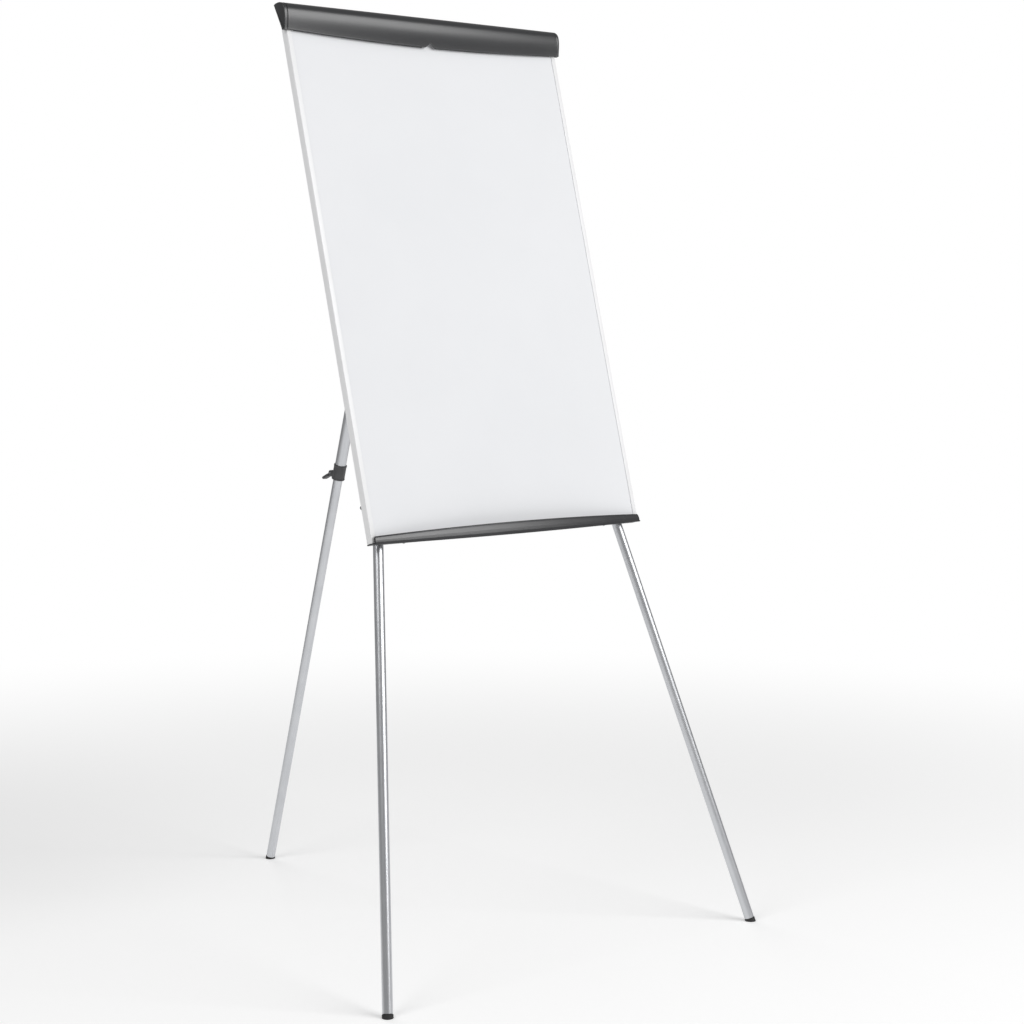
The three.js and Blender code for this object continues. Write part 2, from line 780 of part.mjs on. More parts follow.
// The cam lever about its pin: a round cam, a neck between the lugs and a wider paddle
function leverGeometry() {
  const half = leverThickness / 2;
  const tip = leverTipThickness / 2;
  const neck = new THREE.Shape();
  const turn = Math.asin(half / leverHeadRadius);
  neck.absarc(0, 0, leverHeadRadius, turn, 2 * Math.PI - turn, false);
  neck.lineTo(leverPaddleStart + half, -half);
  neck.lineTo(leverPaddleStart + half, half);
  const paddle = new THREE.Shape();
  paddle.absarc(leverPaddleStart + half, 0, half, Math.PI / 2, 1.5 * Math.PI, false);
  paddle.lineTo(leverLength - tip, -tip);
  paddle.absarc(leverLength - tip, 0, tip, -Math.PI / 2, Math.PI / 2, false);
  const neckBar = barAlongX(neck, lugGap - 2 * fitGap);
  const bore = towardsX(rod(leverPinRadius + fitGap, -lugGap, lugGap));
  return cut(join(neckBar, barAlongX(paddle, leverPaddleWidth)), bore).rotateX(-leverDroop);
}

function leverPinGeometry() {
  const half = lugGap / 2 + lugThickness + 1;
  return towardsX(rod(leverPinRadius, -half, half));
}

// The foot plugs into the lower tube, and its sole is cut level with the floor
function footGeometry(leg, toFloor) {
  const tubeEnd = -toFloor + footAxisHeight;
  const blank = turned([
    [0, -toFloor - footRadius],
    [footRadius, -toFloor - footRadius],
    [footRadius, tubeEnd - footChamfer - fitGap],
    [footRadius - footChamfer, tubeEnd - fitGap],
    [lowerBore - runGap, tubeEnd - fitGap],
    [lowerBore - runGap, tubeEnd + plugLength],
    [0, tubeEnd + plugLength]
  ]);
  leg.updateWorldMatrix(true, false);
  const reach = boardHeight + boardBottomHeight;
  const aboveFloor = boxBetween([-reach, -reach, 0], [reach, reach, reach]);
  return keepInside(blank, aboveFloor.applyMatrix4(leg.matrixWorld.clone().invert()));
}

// Distance from a leg's pivot down its axis to the floor
function distanceToFloor(leg) {
  leg.updateWorldMatrix(true, false);
  const pivot = new THREE.Vector3().setFromMatrixPosition(leg.matrixWorld);
  const down = new THREE.Vector3(0, 0, -1).transformDirection(leg.matrixWorld);
  return pivot.z / -down.z;
}

function addLeg(leg, name, eyeAlongX) {
  const toFloor = distanceToFloor(leg);
  const pivotRadius = eyeAlongX ? rearPivotRadius : frontPivotRadius;
  addPart(leg, `${name}_leg_head`, headGeometry(eyeAlongX, pivotRadius + fitGap), 'blackPlastic');
  addPart(leg, `${name}_upper_tube`,
    tube(upperTubeRadius, upperBore, -upperLength, -headTop), 'aluminium');
  const clamp = addGroup(leg, [0, 0, -upperLength]);
  addPart(clamp, `${name}_collar`, collarGeometry(), 'blackPlastic');
  const leverPivot = addGroup(clamp, [0, leverPinOut, -leverPinDrop]);
  leverPivot.name = `${name}LeverPivot`;
  addPart(leverPivot, `${name}_lever_pin`, leverPinGeometry(), 'steel');
  addPart(leverPivot, `${name}_lever`, leverGeometry(), 'blackPlastic');

  const lowerTop = -upperLength + tubeOverlap;
  const lowerBottom = -toFloor + footAxisHeight;
  addPart(leg, `${name}_lower_tube`,
    tube(lowerTubeRadius, lowerBore, lowerBottom, lowerTop), 'aluminium');
  const bush = turned([
    [0, lowerTop - plugLength], [lowerBore - fitGap, lowerTop - plugLength],
    [lowerBore - fitGap, lowerTop + fitGap], [upperBore - fitGap, lowerTop + fitGap],
    [upperBore - fitGap, lowerTop + bushHeight], [0, lowerTop + bushHeight]
  ]);
  addPart(leg, `${name}_slide_bush`, bush, 'blackPlastic');
  addPart(leg, `${name}_foot`, footGeometry(leg, toFloor), 'rubber');
}

// A saddle in its leg's resting frame; side is -1 on the left and 1 on the right
function saddleGeometry(side) {
  const middle = side * saddleMiddle;
  const base = boxBetween(
    [middle - saddleWidth / 2, saddleFront, -saddleLength / 2],
    [middle + saddleWidth / 2, saddleFront + saddleBase, saddleLength / 2]
  );
  const wallMiddle = side * (saddleInner + saddleWall / 2);
  const wall = boxBetween(
    [wallMiddle - saddleWall / 2, saddleFront, -saddleLength / 2],
    [wallMiddle + saddleWall / 2, saddleReach, saddleLength / 2]
  );
  return join(base, wall);
}

function addFrontLegs(board) {
  const plane = addGroup(board, [0, frontPivotDepth, pivotHeight], [-frontLegLean, 0, 0]);
  [['left', -1], ['right', 1]].forEach(([name, side]) => {
    const leg = addGroup(plane, [side * frontPivotSpread, 0, 0], [0, -side * frontLegSplay, 0]);
    leg.name = `${name}LegPivot`;
    addLeg(leg, name, false);
    addPart(leg, `${name}_leg_pivot`, frontPivotGeometry(), 'steel');
    const saddle = addGroup(leg, [0, 0, -saddlePlace.along]);
    const screwTurn = towardsY(screw(screwRadius, screwHeadRadius, screwHeadHeight, screwLength));
    const screwX = -side * saddleScrewOut;
    const hole = towardsY(rod(screwRadius + fitGap, saddleFront - 1, saddleFront + saddleBase + 1));
    addPart(saddle, `${name}_saddle`, cut(saddleGeometry(side), hole.translate(screwX, 0, 0)),
      'blackPlastic');
    const fixing = addPart(saddle, `${name}_saddle_screw`, screwTurn, 'steel');
    fixing.position.set(screwX, saddleFront + saddleBase + fitGap, 0);
  });
}

function addRearLeg(board) {
  const leg = addGroup(board, [0, rearPivotDepth, pivotHeight], [boardTilt + rearLegLean, 0, 0]);
  leg.name = 'rearLegPivot';
  addLeg(leg, 'rear', true);
  addPart(leg, 'rear_leg_pivot', rearPivotGeometry(), 'steel');
}

// ---- The whole easel ----

function buildEasel() {
  const easel = new THREE.Group();
  const board = addGroup(easel, [0, 0, boardBottomHeight], [-boardTilt, 0, 0]);
  board.name = 'boardFrame';
  addPanel(board);
  addFrame(board);
  addTray(board);
  addRail(board);
  addClip(board);
  addHub(board);
  addFrontLegs(board);
  addRearLeg(board);

  // The origin is on the floor under the middle of the standing easel
  easel.updateMatrixWorld(true);
  const middle = new THREE.Box3().setFromObject(easel, true).getCenter(new THREE.Vector3());
  easel.position.set(-middle.x, -middle.y, 0);
  easel.updateMatrixWorld(true);
  return easel;
}

export default buildEasel();
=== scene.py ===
import json

import bmesh
import bpy
import numpy as np
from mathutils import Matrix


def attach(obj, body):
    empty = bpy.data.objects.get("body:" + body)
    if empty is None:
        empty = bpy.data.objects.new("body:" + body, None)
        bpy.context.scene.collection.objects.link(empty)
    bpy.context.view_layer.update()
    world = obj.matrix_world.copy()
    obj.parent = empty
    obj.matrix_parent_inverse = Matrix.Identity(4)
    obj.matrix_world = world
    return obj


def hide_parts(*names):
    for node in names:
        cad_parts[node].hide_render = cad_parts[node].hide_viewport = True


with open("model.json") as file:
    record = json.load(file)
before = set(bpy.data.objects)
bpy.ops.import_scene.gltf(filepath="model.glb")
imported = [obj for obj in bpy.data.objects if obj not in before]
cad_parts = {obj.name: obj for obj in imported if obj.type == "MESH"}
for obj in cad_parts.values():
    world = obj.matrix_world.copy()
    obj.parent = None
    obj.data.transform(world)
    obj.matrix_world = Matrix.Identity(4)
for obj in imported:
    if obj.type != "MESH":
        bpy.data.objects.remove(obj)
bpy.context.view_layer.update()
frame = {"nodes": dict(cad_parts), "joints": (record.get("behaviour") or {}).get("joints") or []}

print("frame loaded:", len(frame["nodes"]), "nodes")

mm = 0.001
sides = ("left", "right", "rear")
legSide = {"left": -1, "right": 1}
joints = {j["name"]: j for j in frame["joints"]}


# A place has an origin and three unit axes. out turns its own millimetres into the scene's metres:
# origin + x * xAxis + y * yAxis + z * zAxis, and back does the reverse.
class Place:
    def __init__(self, origin, x, y, z):
        self.origin = np.asarray(origin, float)
        self.axes = np.array([x, y, z], float)

    def out(self, points):
        return self.origin + np.asarray(points, float) * mm @ self.axes

    def back(self, points):
        return (np.asarray(points, float) - self.origin) @ self.axes.T / mm

    def moved(self, x=0, y=0, z=0):
        return Place(self.out([x, y, z]), *self.axes)


def nodePoints(name):
    vertices = frame["nodes"][name].data.vertices
    flat = np.empty(len(vertices) * 3)
    vertices.foreach_get("co", flat)
    return flat.reshape(-1, 3)


# Lowest and highest corner of a CAD node in a place's own millimetres
def span(name, place):
    points = place.back(nodePoints(name))
    return points.min(0), points.max(0)


board = {
    "width": 690, "height": 1050,
    "sheetMiddle": 1.7,     # depth of the writing sheet's middle behind the frame's front
    "sheetInset": 1.8,      # how far the sheet's edge lies inside the frame
}


# The writing sheet's lower and upper corners, each taken once, give the board's tilt and origin
def boardPlace():
    sheet = np.unique(nodePoints("face_sheet").round(6), axis=0)
    upper = sheet[:, 2] > sheet[:, 2].mean()
    up = sheet[upper].mean(0) - sheet[~upper].mean(0)
    up /= np.linalg.norm(up)
    across = np.array([1.0, 0, 0])
    behind = np.cross(up, across)
    corner = sheet[~upper].mean(0) - behind * board["sheetMiddle"] * mm - up * board["sheetInset"] * mm
    return Place(corner, across, behind, up)


# A leg's z runs up its axis and its y points away from the board
def legPlace(name):
    fold = np.array(joints[f"{name}_leg_fold"]["axis"])
    up = np.array(joints[f"{name}_leg_slide"]["axis"])
    if name == "rear":
        across = -fold
        behind = np.cross(up, across)
    else:
        behind = fold * legSide[name]
        across = np.cross(behind, up)
    return Place(joints[f"{name}_leg_fold"]["pos_m"], across, behind, up)


onBoard = boardPlace()
onLeg = {name: legPlace(name) for name in sides}
onLever = {name: Place(joints[f"{name}_clamp_lever"]["pos_m"], *onLeg[name].axes) for name in sides}
onHinge = Place(joints["clip_hinge"]["pos_m"], *onBoard.axes)
halfWidth = board["width"] / 2


# Rounds the corners of a closed outline. Each corner gives way to an arc of its radius, whose centre
# lies on the corner's bisector at radius / sin(half the corner's angle).
def rounded(points, radii, steps=5):
    p = np.asarray(points, float)
    before = np.roll(p, 1, 0) - p
    after = np.roll(p, -1, 0) - p
    lengthBefore = np.linalg.norm(before, axis=1)
    lengthAfter = np.linalg.norm(after, axis=1)
    before /= lengthBefore[:, None]
    after /= lengthAfter[:, None]
    half = np.clip(np.arccos(np.clip((before * after).sum(1), -1, 1)) / 2, 0.01, np.pi / 2 - 0.001)
    room = 0.48 * np.minimum(lengthBefore, lengthAfter)
    cut = np.minimum(np.broadcast_to(radii, len(p)) / np.tan(half), room)
    radius = cut * np.tan(half)
    bisector = before + after
    bend = np.linalg.norm(bisector, axis=1)
    straight = bend < 1e-4
    radius = np.where(straight, 0, radius)
    cut = np.where(straight, 0, cut)
    bisector /= np.maximum(bend, 1e-9)[:, None]
    centre = p + bisector * (radius / np.sin(half))[:, None]
    first = p + before * cut[:, None] - centre
    last = p + after * cut[:, None] - centre
    start = np.arctan2(first[:, 1], first[:, 0])
    turn = (np.arctan2(last[:, 1], last[:, 0]) - start + np.pi) % (2 * np.pi) - np.pi
    angle = start[:, None] + turn[:, None] * np.linspace(0, 1, steps)
    arc = np.stack([np.cos(angle), np.sin(angle)], -1) * radius[:, None, None]
    line = (centre[:, None] + arc).reshape(-1, 2)
    return line[np.linalg.norm(line - np.roll(line, 1, 0), axis=1) > 1e-6]


# Moves a closed outline inwards: each point goes along the normal of the line through its neighbours
def inset(outline, distance):
    along = np.roll(outline, -1, 0) - np.roll(outline, 1, 0)
    along /= np.maximum(np.linalg.norm(along, axis=1), 1e-9)[:, None]
    x, y = outline.T
    area = (x * np.roll(y, -1) - np.roll(x, -1) * y).sum()
    inwards = np.stack([-along[:, 1], along[:, 0]], -1) * np.sign(area)
    return outline + inwards * distance


edgeSteps = 4     # sections in a rounded edge


# A rounded edge at the end of a straight run follows a quarter circle: at edge * (1 - cos a) from the
# end, the section is drawn in by edge * (1 - sin a)
def quarterEdge(edge):
    a = np.linspace(0, np.pi / 2, edgeSteps)
    return edge * (1 - np.cos(a)), edge * (1 - np.sin(a))


axisOrder = {"x": (2, 0, 1), "y": (0, 2, 1), "z": (0, 1, 2)}


# Carries a closed section (u, v) along a straight axis, with a rounded edge at both ends: one row of
# points for each place along it
def bar(section, low, high, edge, axis="x"):
    fromEnd, drawn = quarterEdge(edge)
    where = np.concatenate([low + fromEnd, (high - fromEnd)[::-1]])
    rows = []
    for place, amount in zip(where, np.concatenate([drawn, drawn[::-1]])):
        flat = inset(section, amount) if amount > 0 else section
        rows.append(np.column_stack([flat, np.full(len(flat), place)]))
    return np.array(rows)[:, :, axisOrder[axis]]


# Turns a profile of (radius, height) about z: x = radius * cos a, y = radius * sin a
def turned(profile, count=48):
    radius, height = np.asarray(profile, float).T
    a = np.linspace(0, 2 * np.pi, count, endpoint=False)[:, None]
    return np.stack([radius * np.cos(a), radius * np.sin(a), height + 0 * a], -1)


# These lay a shape that was turned about z along x or along y
def towardsX(points):
    return points[..., [2, 1, 0]]


def towardsY(points):
    return points[..., [0, 2, 1]]


# A shell is a grid of points whose rows are joined by quads. Its columns close into a ring. Its rows
# close too if ring is True, as in a turned shape, or else a face closes each end.
class Shell:
    def __init__(self, grid, ring=False):
        self.grid = np.asarray(grid, float)
        self.ring = ring

    def faces(self, first):
        rows, columns = self.grid.shape[:2]
        ids = first + np.arange(rows * columns).reshape(rows, columns)
        down = np.roll(ids, -1, 0) if self.ring else ids[1:]
        up = ids if self.ring else ids[:-1]
        quads = np.stack([up, np.roll(up, -1, 1), np.roll(down, -1, 1), down], -1).reshape(-1, 4).tolist()
        return quads if self.ring else quads + [ids[0][::-1].tolist(), ids[-1].tolist()]


# Makes one object from its shells. Each point keeps its own coordinates, in metres, as an attribute
# that the materials read, so that a pattern follows the piece.
def makePiece(name, shells, place, material, body, stands=(), crease=32):
    points = [shell.grid.reshape(-1, 3) for shell in shells]
    own = np.concatenate(points)
    faces = []
    first = 0
    for shell, part in zip(shells, points):
        faces += shell.faces(first)
        first += len(part)
    mesh = bpy.data.meshes.new(name)
    mesh.from_pydata(place.out(own), [], faces)
    attribute = mesh.attributes.new("ownPlace", "FLOAT_VECTOR", "POINT")
    attribute.data.foreach_set("vector", (own * mm).ravel())
    work = bmesh.new()
    work.from_mesh(mesh)
    bmesh.ops.remove_doubles(work, verts=work.verts, dist=2e-6)
    bmesh.ops.dissolve_degenerate(work, edges=work.edges, dist=1e-6)
    bmesh.ops.recalc_face_normals(work, faces=work.faces)
    work.to_mesh(mesh)
    work.free()
    return settle(name, mesh, material, body, stands, crease)


# Shades a mesh, puts it in the scene, parents it to the empty of the body it rides and hides the CAD nodes
# it stands for
def settle(name, mesh, material, body, stands, crease):
    mesh.shade_smooth()
    mesh.set_sharp_from_angle(angle=np.radians(crease))
    piece = bpy.data.objects.new(name, mesh)
    bpy.context.scene.collection.objects.link(piece)
    mesh.materials.clear()
    mesh.materials.append(material)
    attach(piece, body)
    if stands:
        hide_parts(*stands)
    return piece


# A merged copy of a CAD node with its flat faces joined up and its edges rounded by a bevel. A gap cuts
# out its middle, across x.
def softened(name, node, material, body, radius, gap=0):
    crease = 40
    work = bmesh.new()
    work.from_mesh(frame["nodes"][node].data)
    bmesh.ops.remove_doubles(work, verts=work.verts, dist=1e-5)
    if gap:
        half = gap / 2 * mm
        for cutX in (-half, half):
            parts = work.verts[:] + work.edges[:] + work.faces[:]
            bmesh.ops.bisect_plane(work, geom=parts, plane_co=(cutX, 0, 0), plane_no=(1, 0, 0))
        half -= 0.01 * mm
        middle = [v for v in work.verts if abs(v.co.x) < half]
        inside = [f for f in work.faces if abs(f.calc_center_median().x) < half]
        bmesh.ops.delete(work, geom=inside, context="FACES")
        bmesh.ops.delete(work, geom=[v for v in middle if v.is_valid], context="VERTS")
        bmesh.ops.holes_fill(work, edges=[e for e in work.edges if e.is_boundary])
    bmesh.ops.dissolve_limit(work, angle_limit=np.radians(1), verts=work.verts, edges=work.edges)
    mesh = bpy.data.meshes.new(name)
    work.to_mesh(mesh)
    work.free()
    piece = settle(name, mesh, material, body, (node,), crease)
    bevel = piece.modifiers.new("roundedEdges", "BEVEL")
    bevel.width = radius * mm
    bevel.segments = 2
    bevel.limit_method = "ANGLE"
    bevel.angle_limit = np.radians(crease)
    return piece


# Gives a CAD node a material and leaves its mesh as it is
def finishNode(node, material):
    mesh = frame["nodes"][node].data
    mesh.materials.clear()
    mesh.materials.append(material)


# Wraps one output socket, so that an expression on it adds its Math nodes
class Wire:
    def __init__(self, tree, socket):
        self.tree = tree
        self.socket = socket

    def math(self, operation, *values):
        return self.tree.add("ShaderNodeMath", {"operation": operation}, dict(enumerate(values)))

    def __add__(self, other):
        return self.math("ADD", self, other)

    def __radd__(self, other):
        return self.math("ADD", other, self)

    def __sub__(self, other):
        return self.math("SUBTRACT", self, other)

    def __rsub__(self, other):
        return self.math("SUBTRACT", other, self)

    def __mul__(self, other):
        return self.math("MULTIPLY", self, other)

    def __rmul__(self, other):
        return self.math("MULTIPLY", other, self)

    def between(self, low, high):
        settings = {"interpolation_type": "SMOOTHSTEP"}
        values = {"Value": self, "From Min": low, "From Max": high}
        return self.tree.add("ShaderNodeMapRange", settings, values, "Result")


# A material's node tree. add makes any node: its settings first, then its sockets' values or links.
class Finish:
    def __init__(self, name, source="own"):
        self.material = bpy.data.materials.new(name)
        self.material.use_nodes = True
        self.nodes = self.material.node_tree.nodes
        self.links = self.material.node_tree.links
        self.shader = self.nodes["Principled BSDF"]
        if source == "own":
            self.place = self.add("ShaderNodeAttribute", {"attribute_name": "ownPlace"}, {}, "Vector")
        else:
            self.place = self.add("ShaderNodeTexCoord", {}, {}, "Object")

    def add(self, kind, settings=None, values=None, output=0):
        node = self.nodes.new(kind)
        for key, value in (settings or {}).items():
            setattr(node, key, value)
        for key, value in (values or {}).items():
            self.feed(node.inputs[key], value)
        return Wire(self, node.outputs[output])

    def feed(self, socket, value):
        if isinstance(value, Wire):
            self.links.new(value.socket, socket)
        elif hasattr(value, "__len__") and socket.type == "RGBA":
            socket.default_value = (*value, 1)
        else:
            socket.default_value = value

    def scaled(self, x, y, z):
        values = {"Vector": self.place, "Scale": (x, y, z)}
        return self.add("ShaderNodeMapping", {}, values, "Vector")

    def noise(self, scale, detail=2, roughness=0.5, vector=None):
        values = {"Vector": vector or self.place, "Scale": scale, "Detail": detail, "Roughness": roughness}
        return self.add("ShaderNodeTexNoise", {}, values, "Fac")

    def mix(self, factor, first, second):
        node = self.nodes.new("ShaderNodeMix")
        node.data_type = "RGBA"
        for socket, value in zip((node.inputs[0], node.inputs[6], node.inputs[7]), (factor, first, second)):
            self.feed(socket, value)
        return Wire(self, node.outputs[2])

    def bump(self, height, depth):
        values = {"Height": height, "Distance": depth * mm, "Strength": 1.0}
        return self.add("ShaderNodeBump", {}, values, "Normal")

    def surface(self, **sockets):
        for key, value in sockets.items():
            name = {"color": "Base Color", "specular": "Specular IOR Level"}.get(key, key.capitalize())
            self.feed(self.shader.inputs[name], value)
        return self.material


# Enamelled steel: a faint orange peel, and the cloudy film that a dry eraser leaves
def enamel():
    f = Finish("whiteEnamel", "object")
    film = f.noise(3.2, 4, 0.6).between(0.3, 0.8)
    color = f.mix(film, (0.838, 0.846, 0.864), (0.822, 0.831, 0.85))
    peel = f.noise(420, 2)
    return f.surface(color=color, roughness=0.5 + film * 0.08, normal=f.bump(peel, 0.012), specular=0.25)


# Powder-coated or moulded white: fine pebbled skin, slightly dulled in patches
def whiteFrame():
    f = Finish("whiteFrame")
    patch = f.noise(7, 3).between(0.4, 0.75)
    color = f.mix(patch, (0.89, 0.892, 0.9), (0.855, 0.857, 0.86))
    grain = f.noise(900, 2) * 0.7 + f.noise(160, 2) * 0.3
    return f.surface(color=color, roughness=0.36 + patch * 0.1, normal=f.bump(grain, 0.02))


# Moulded grey plastic: spark-eroded grain, with rubbed patches that shine a little more
def darkPlastic():
    f = Finish("darkPlastic")
    rub = f.noise(5.5, 4, 0.6).between(0.45, 0.75)
    speck = f.noise(700, 2).between(0.35, 0.7)
    color = f.mix(speck * 0.5, (0.017, 0.0175, 0.0195), (0.028, 0.0288, 0.032))
    grain = f.noise(1100, 3, 0.6)
    return f.surface(color=color, roughness=0.3 + speck * 0.06 - rub * 0.03,
                     normal=f.bump(grain, 0.02), specular=0.85)


def blackPlastic():
    f = Finish("blackPlastic")
    rub = f.noise(24, 4, 0.6).between(0.4, 0.75)
    speck = f.noise(1300, 2).between(0.35, 0.7)
    color = f.mix(speck * 0.6 + rub * 0.4, (0.052, 0.052, 0.054), (0.085, 0.085, 0.088))
    grain = f.noise(1500, 3, 0.6)
    return f.surface(color=color, roughness=0.42 + speck * 0.1 - rub * 0.08,
                     normal=f.bump(grain, 0.03))


def blackPlasticNode():
    f = Finish("blackPlasticInside", "object")
    speck = f.noise(1300, 2).between(0.35, 0.7)
    color = f.mix(speck, (0.03, 0.03, 0.032), (0.055, 0.055, 0.058))
    return f.surface(color=color, roughness=0.45 + speck * 0.1, normal=f.bump(speck, 0.02))


# Rubber: matt, with dusty patches
def rubber():
    f = Finish("rubber", "object")
    dust = f.noise(60, 4, 0.65).between(0.45, 0.8)
    color = f.mix(dust * 0.7, (0.017, 0.017, 0.018), (0.06, 0.058, 0.055))
    grain = f.noise(1800, 2)
    return f.surface(color=color, roughness=0.68 + dust * 0.2, normal=f.bump(grain, 0.05))


# Drawn and anodised aluminium: lines along the tube and a soft cloudiness in the oxide
def aluminium():
    f = Finish("drawnAluminium")
    lines = f.noise(1, 3, 0.6, f.scaled(900, 900, 3.5))
    broad = f.noise(1, 2, 0.5, f.scaled(190, 190, 1.2)).between(0.3, 0.75)
    cloud = f.noise(14, 3).between(0.35, 0.75)
    color = f.mix(lines * 0.6 + cloud * 0.4, (0.56, 0.572, 0.595), (0.7, 0.71, 0.73))
    return f.surface(color=color, metallic=1.0, roughness=0.26 + lines * 0.12 + broad * 0.05,
                     normal=f.bump(lines * 0.6 + broad * 0.4, 0.006))


# Zinc plating: faint mottle with a cool sheen
def steel(source):
    f = Finish("zincPlate" + source.capitalize(), source)
    mottle = f.noise(130, 4, 0.6).between(0.35, 0.7)
    color = f.mix(mottle, (0.5, 0.515, 0.54), (0.62, 0.62, 0.61))
    grain = f.noise(800, 2)
    return f.surface(color=color, metallic=1.0, roughness=0.28 + mottle * 0.14,
                     normal=f.bump(grain, 0.012))


# Thin galvanised sheet under a grey lacquer: a net of spangles, each of its own grey
def backSheet():
    f = Finish("galvanisedBack", "object")
    cell = f.add("ShaderNodeTexVoronoi", {"feature": "F1"}, {"Vector": f.place, "Scale": 85.0}, "Color")
    tone = f.add("ShaderNodeSeparateColor", {}, {"Color": cell}, "Red")
    haze = f.noise(4, 3).between(0.35, 0.75)
    color = f.mix(tone * 0.6 + haze * 0.4, (0.5, 0.51, 0.52), (0.64, 0.65, 0.66))
    ripple = f.noise(2.6, 2)
    return f.surface(color=color, metallic=0.75, roughness=0.36 + tone * 0.12 + haze * 0.06,
                     normal=f.bump(ripple, 0.5))


def coreBoard():
    f = Finish("greyBoard", "object")
    fibre = f.noise(1, 4, 0.7, f.scaled(500, 3000, 500))
    color = f.mix(fibre, (0.3, 0.2, 0.1), (0.44, 0.31, 0.18))
    return f.surface(color=color, roughness=0.85 + fibre * 0.1, normal=f.bump(fibre, 0.1))


white = whiteFrame()
grey = darkPlastic()
black = blackPlastic()
hidden = blackPlasticNode()
gum = rubber()
tubeMetal = aluminium()
zinc = steel("own")
zincNode = steel("object")
print("materials made")


view = {
    "place": (-2.7328, -3.5282, 1.2678),
    "yaw": 40.488, "pitch": 5.402,
    "lens": 75.14,
}


# The camera looks along (sin yaw * cos pitch, cos yaw * cos pitch, -sin pitch)
def addCamera():
    data = bpy.data.cameras.new("camera")
    data.lens = view["lens"]
    data.sensor_width = 36
    data.clip_end = 60
    camera = bpy.data.objects.new("camera", data)
    camera.location = view["place"]
    camera.rotation_euler = (np.radians(90 - view["pitch"]), 0, -np.radians(view["yaw"]))
    bpy.context.scene.collection.objects.link(camera)
    bpy.context.scene.camera = camera


studio = {
    # each soft box: azimuth and height of its middle seen from the easel, distance, width, height, watts
    "key": (22, 26, 6.0, 4.2, 3.4, 214),
    "left": (-78, 35, 3.5, 1.8, 2.0, 32),
    "back": (165, 30, 4.6, 2.6, 2.2, 34),
    "aim": (0, 0, 1.15),
    "sky": 0.3,
    "floor": 0.9, "floorGlow": 0.24, "fadeStart": 1.2, "fadeEnd": 3.6,
}


# Azimuth 0 is straight in front of the board and grows towards its right
def addSoftBox(name, azimuth, height, distance, width, tall, watts):
    a = np.radians(azimuth)
    e = np.radians(height)
    aim = np.array(studio["aim"])
    away = np.array([np.sin(a) * np.cos(e), -np.cos(a) * np.cos(e), np.sin(e)])
    data = bpy.data.lights.new(name, "AREA")
    data.shape = "RECTANGLE"
    data.size = width
    data.size_y = tall
    data.energy = watts
    lamp = bpy.data.objects.new(name, data)
    lamp.location = aim + away * distance
    lamp.rotation_euler = (np.pi / 2 - e, 0, a)
    bpy.context.scene.collection.objects.link(lamp)


# The lens sees a white background, and the surfaces see a dimmer, even room
def addRoom():
    world = bpy.data.worlds.new("studio")
    world.use_nodes = True
    nodes = world.node_tree.nodes
    links = world.node_tree.links
    nodes.clear()
    room = nodes.new("ShaderNodeBackground")
    room.inputs["Color"].default_value = (1, 1, 1, 1)
    room.inputs["Strength"].default_value = studio["sky"]
    seen = nodes.new("ShaderNodeBackground")
    seen.inputs["Color"].default_value = (1, 1, 1, 1)
    seen.inputs["Strength"].default_value = 1.0
    path = nodes.new("ShaderNodeLightPath")
    either = nodes.new("ShaderNodeMixShader")
    out = nodes.new("ShaderNodeOutputWorld")
    links.new(path.outputs["Is Camera Ray"], either.inputs[0])
    links.new(room.outputs[0], either.inputs[1])
    links.new(seen.outputs[0], either.inputs[2])
    links.new(either.outputs[0], out.inputs["Surface"])
    bpy.context.scene.world = world
    bpy.context.scene.view_settings.view_transform = "Standard"


# A pale round floor that fades with distance into the white background
def addFloor():
    s = studio
    f = Finish("paleFloor", "object")
    away = f.add("ShaderNodeVectorMath", {"operation": "LENGTH"}, {0: f.place}, "Value")
    far = away.between(s["fadeStart"], s["fadeEnd"])
    level, glow = s["floor"], s["floorGlow"]
    color = f.mix(far, (level, level, level), (0, 0, 0))
    f.feed(f.shader.inputs["Emission Color"], f.mix(far, (glow, glow, glow), (1, 1, 1)))
    f.surface(color=color, roughness=0.95, specular=0.0)
    f.shader.inputs["Emission Strength"].default_value = 1.0
    a = np.linspace(0, 2 * np.pi, 96, endpoint=False)
    rim = np.stack([np.cos(a), np.sin(a), 0 * a], -1) * s["fadeEnd"]
    mesh = bpy.data.meshes.new("floor")
    mesh.from_pydata(rim.tolist(), [], [list(range(len(rim)))])
    mesh.materials.append(f.material)
    floor = bpy.data.objects.new("floor", mesh)
    bpy.context.scene.collection.objects.link(floor)


addCamera()
addRoom()
addFloor()
for lampName in ("key", "left", "back"):
    addSoftBox(lampName, *studio[lampName])
print("camera, lights and floor set")


rail = {
    "strip": 10, "depth": 17, "wall": 1.5, "lip": 1.2, "grooveEnd": 12.1,
    "outerRound": 1.5, "innerRound": 0.45,
    "fit": 0.3,             # gap between neighbouring pieces
    "edge": 0.35, "innerEdge": 0.15,
}


# The grooved section, with its outer wall at 0 and its groove opening towards +
def railSection():
    r = rail
    corners = [(0, 0), (r["strip"], 0), (r["strip"], r["lip"]), (r["wall"], r["lip"]),
               (r["wall"], r["grooveEnd"]), (r["strip"], r["grooveEnd"]),
               (r["strip"], r["depth"]), (0, r["depth"])]
    small = r["innerRound"]
    radii = [r["outerRound"], small, small, 0.1, 0.1, small, small * 2, r["outerRound"]]
    return rounded(corners, radii, 6)


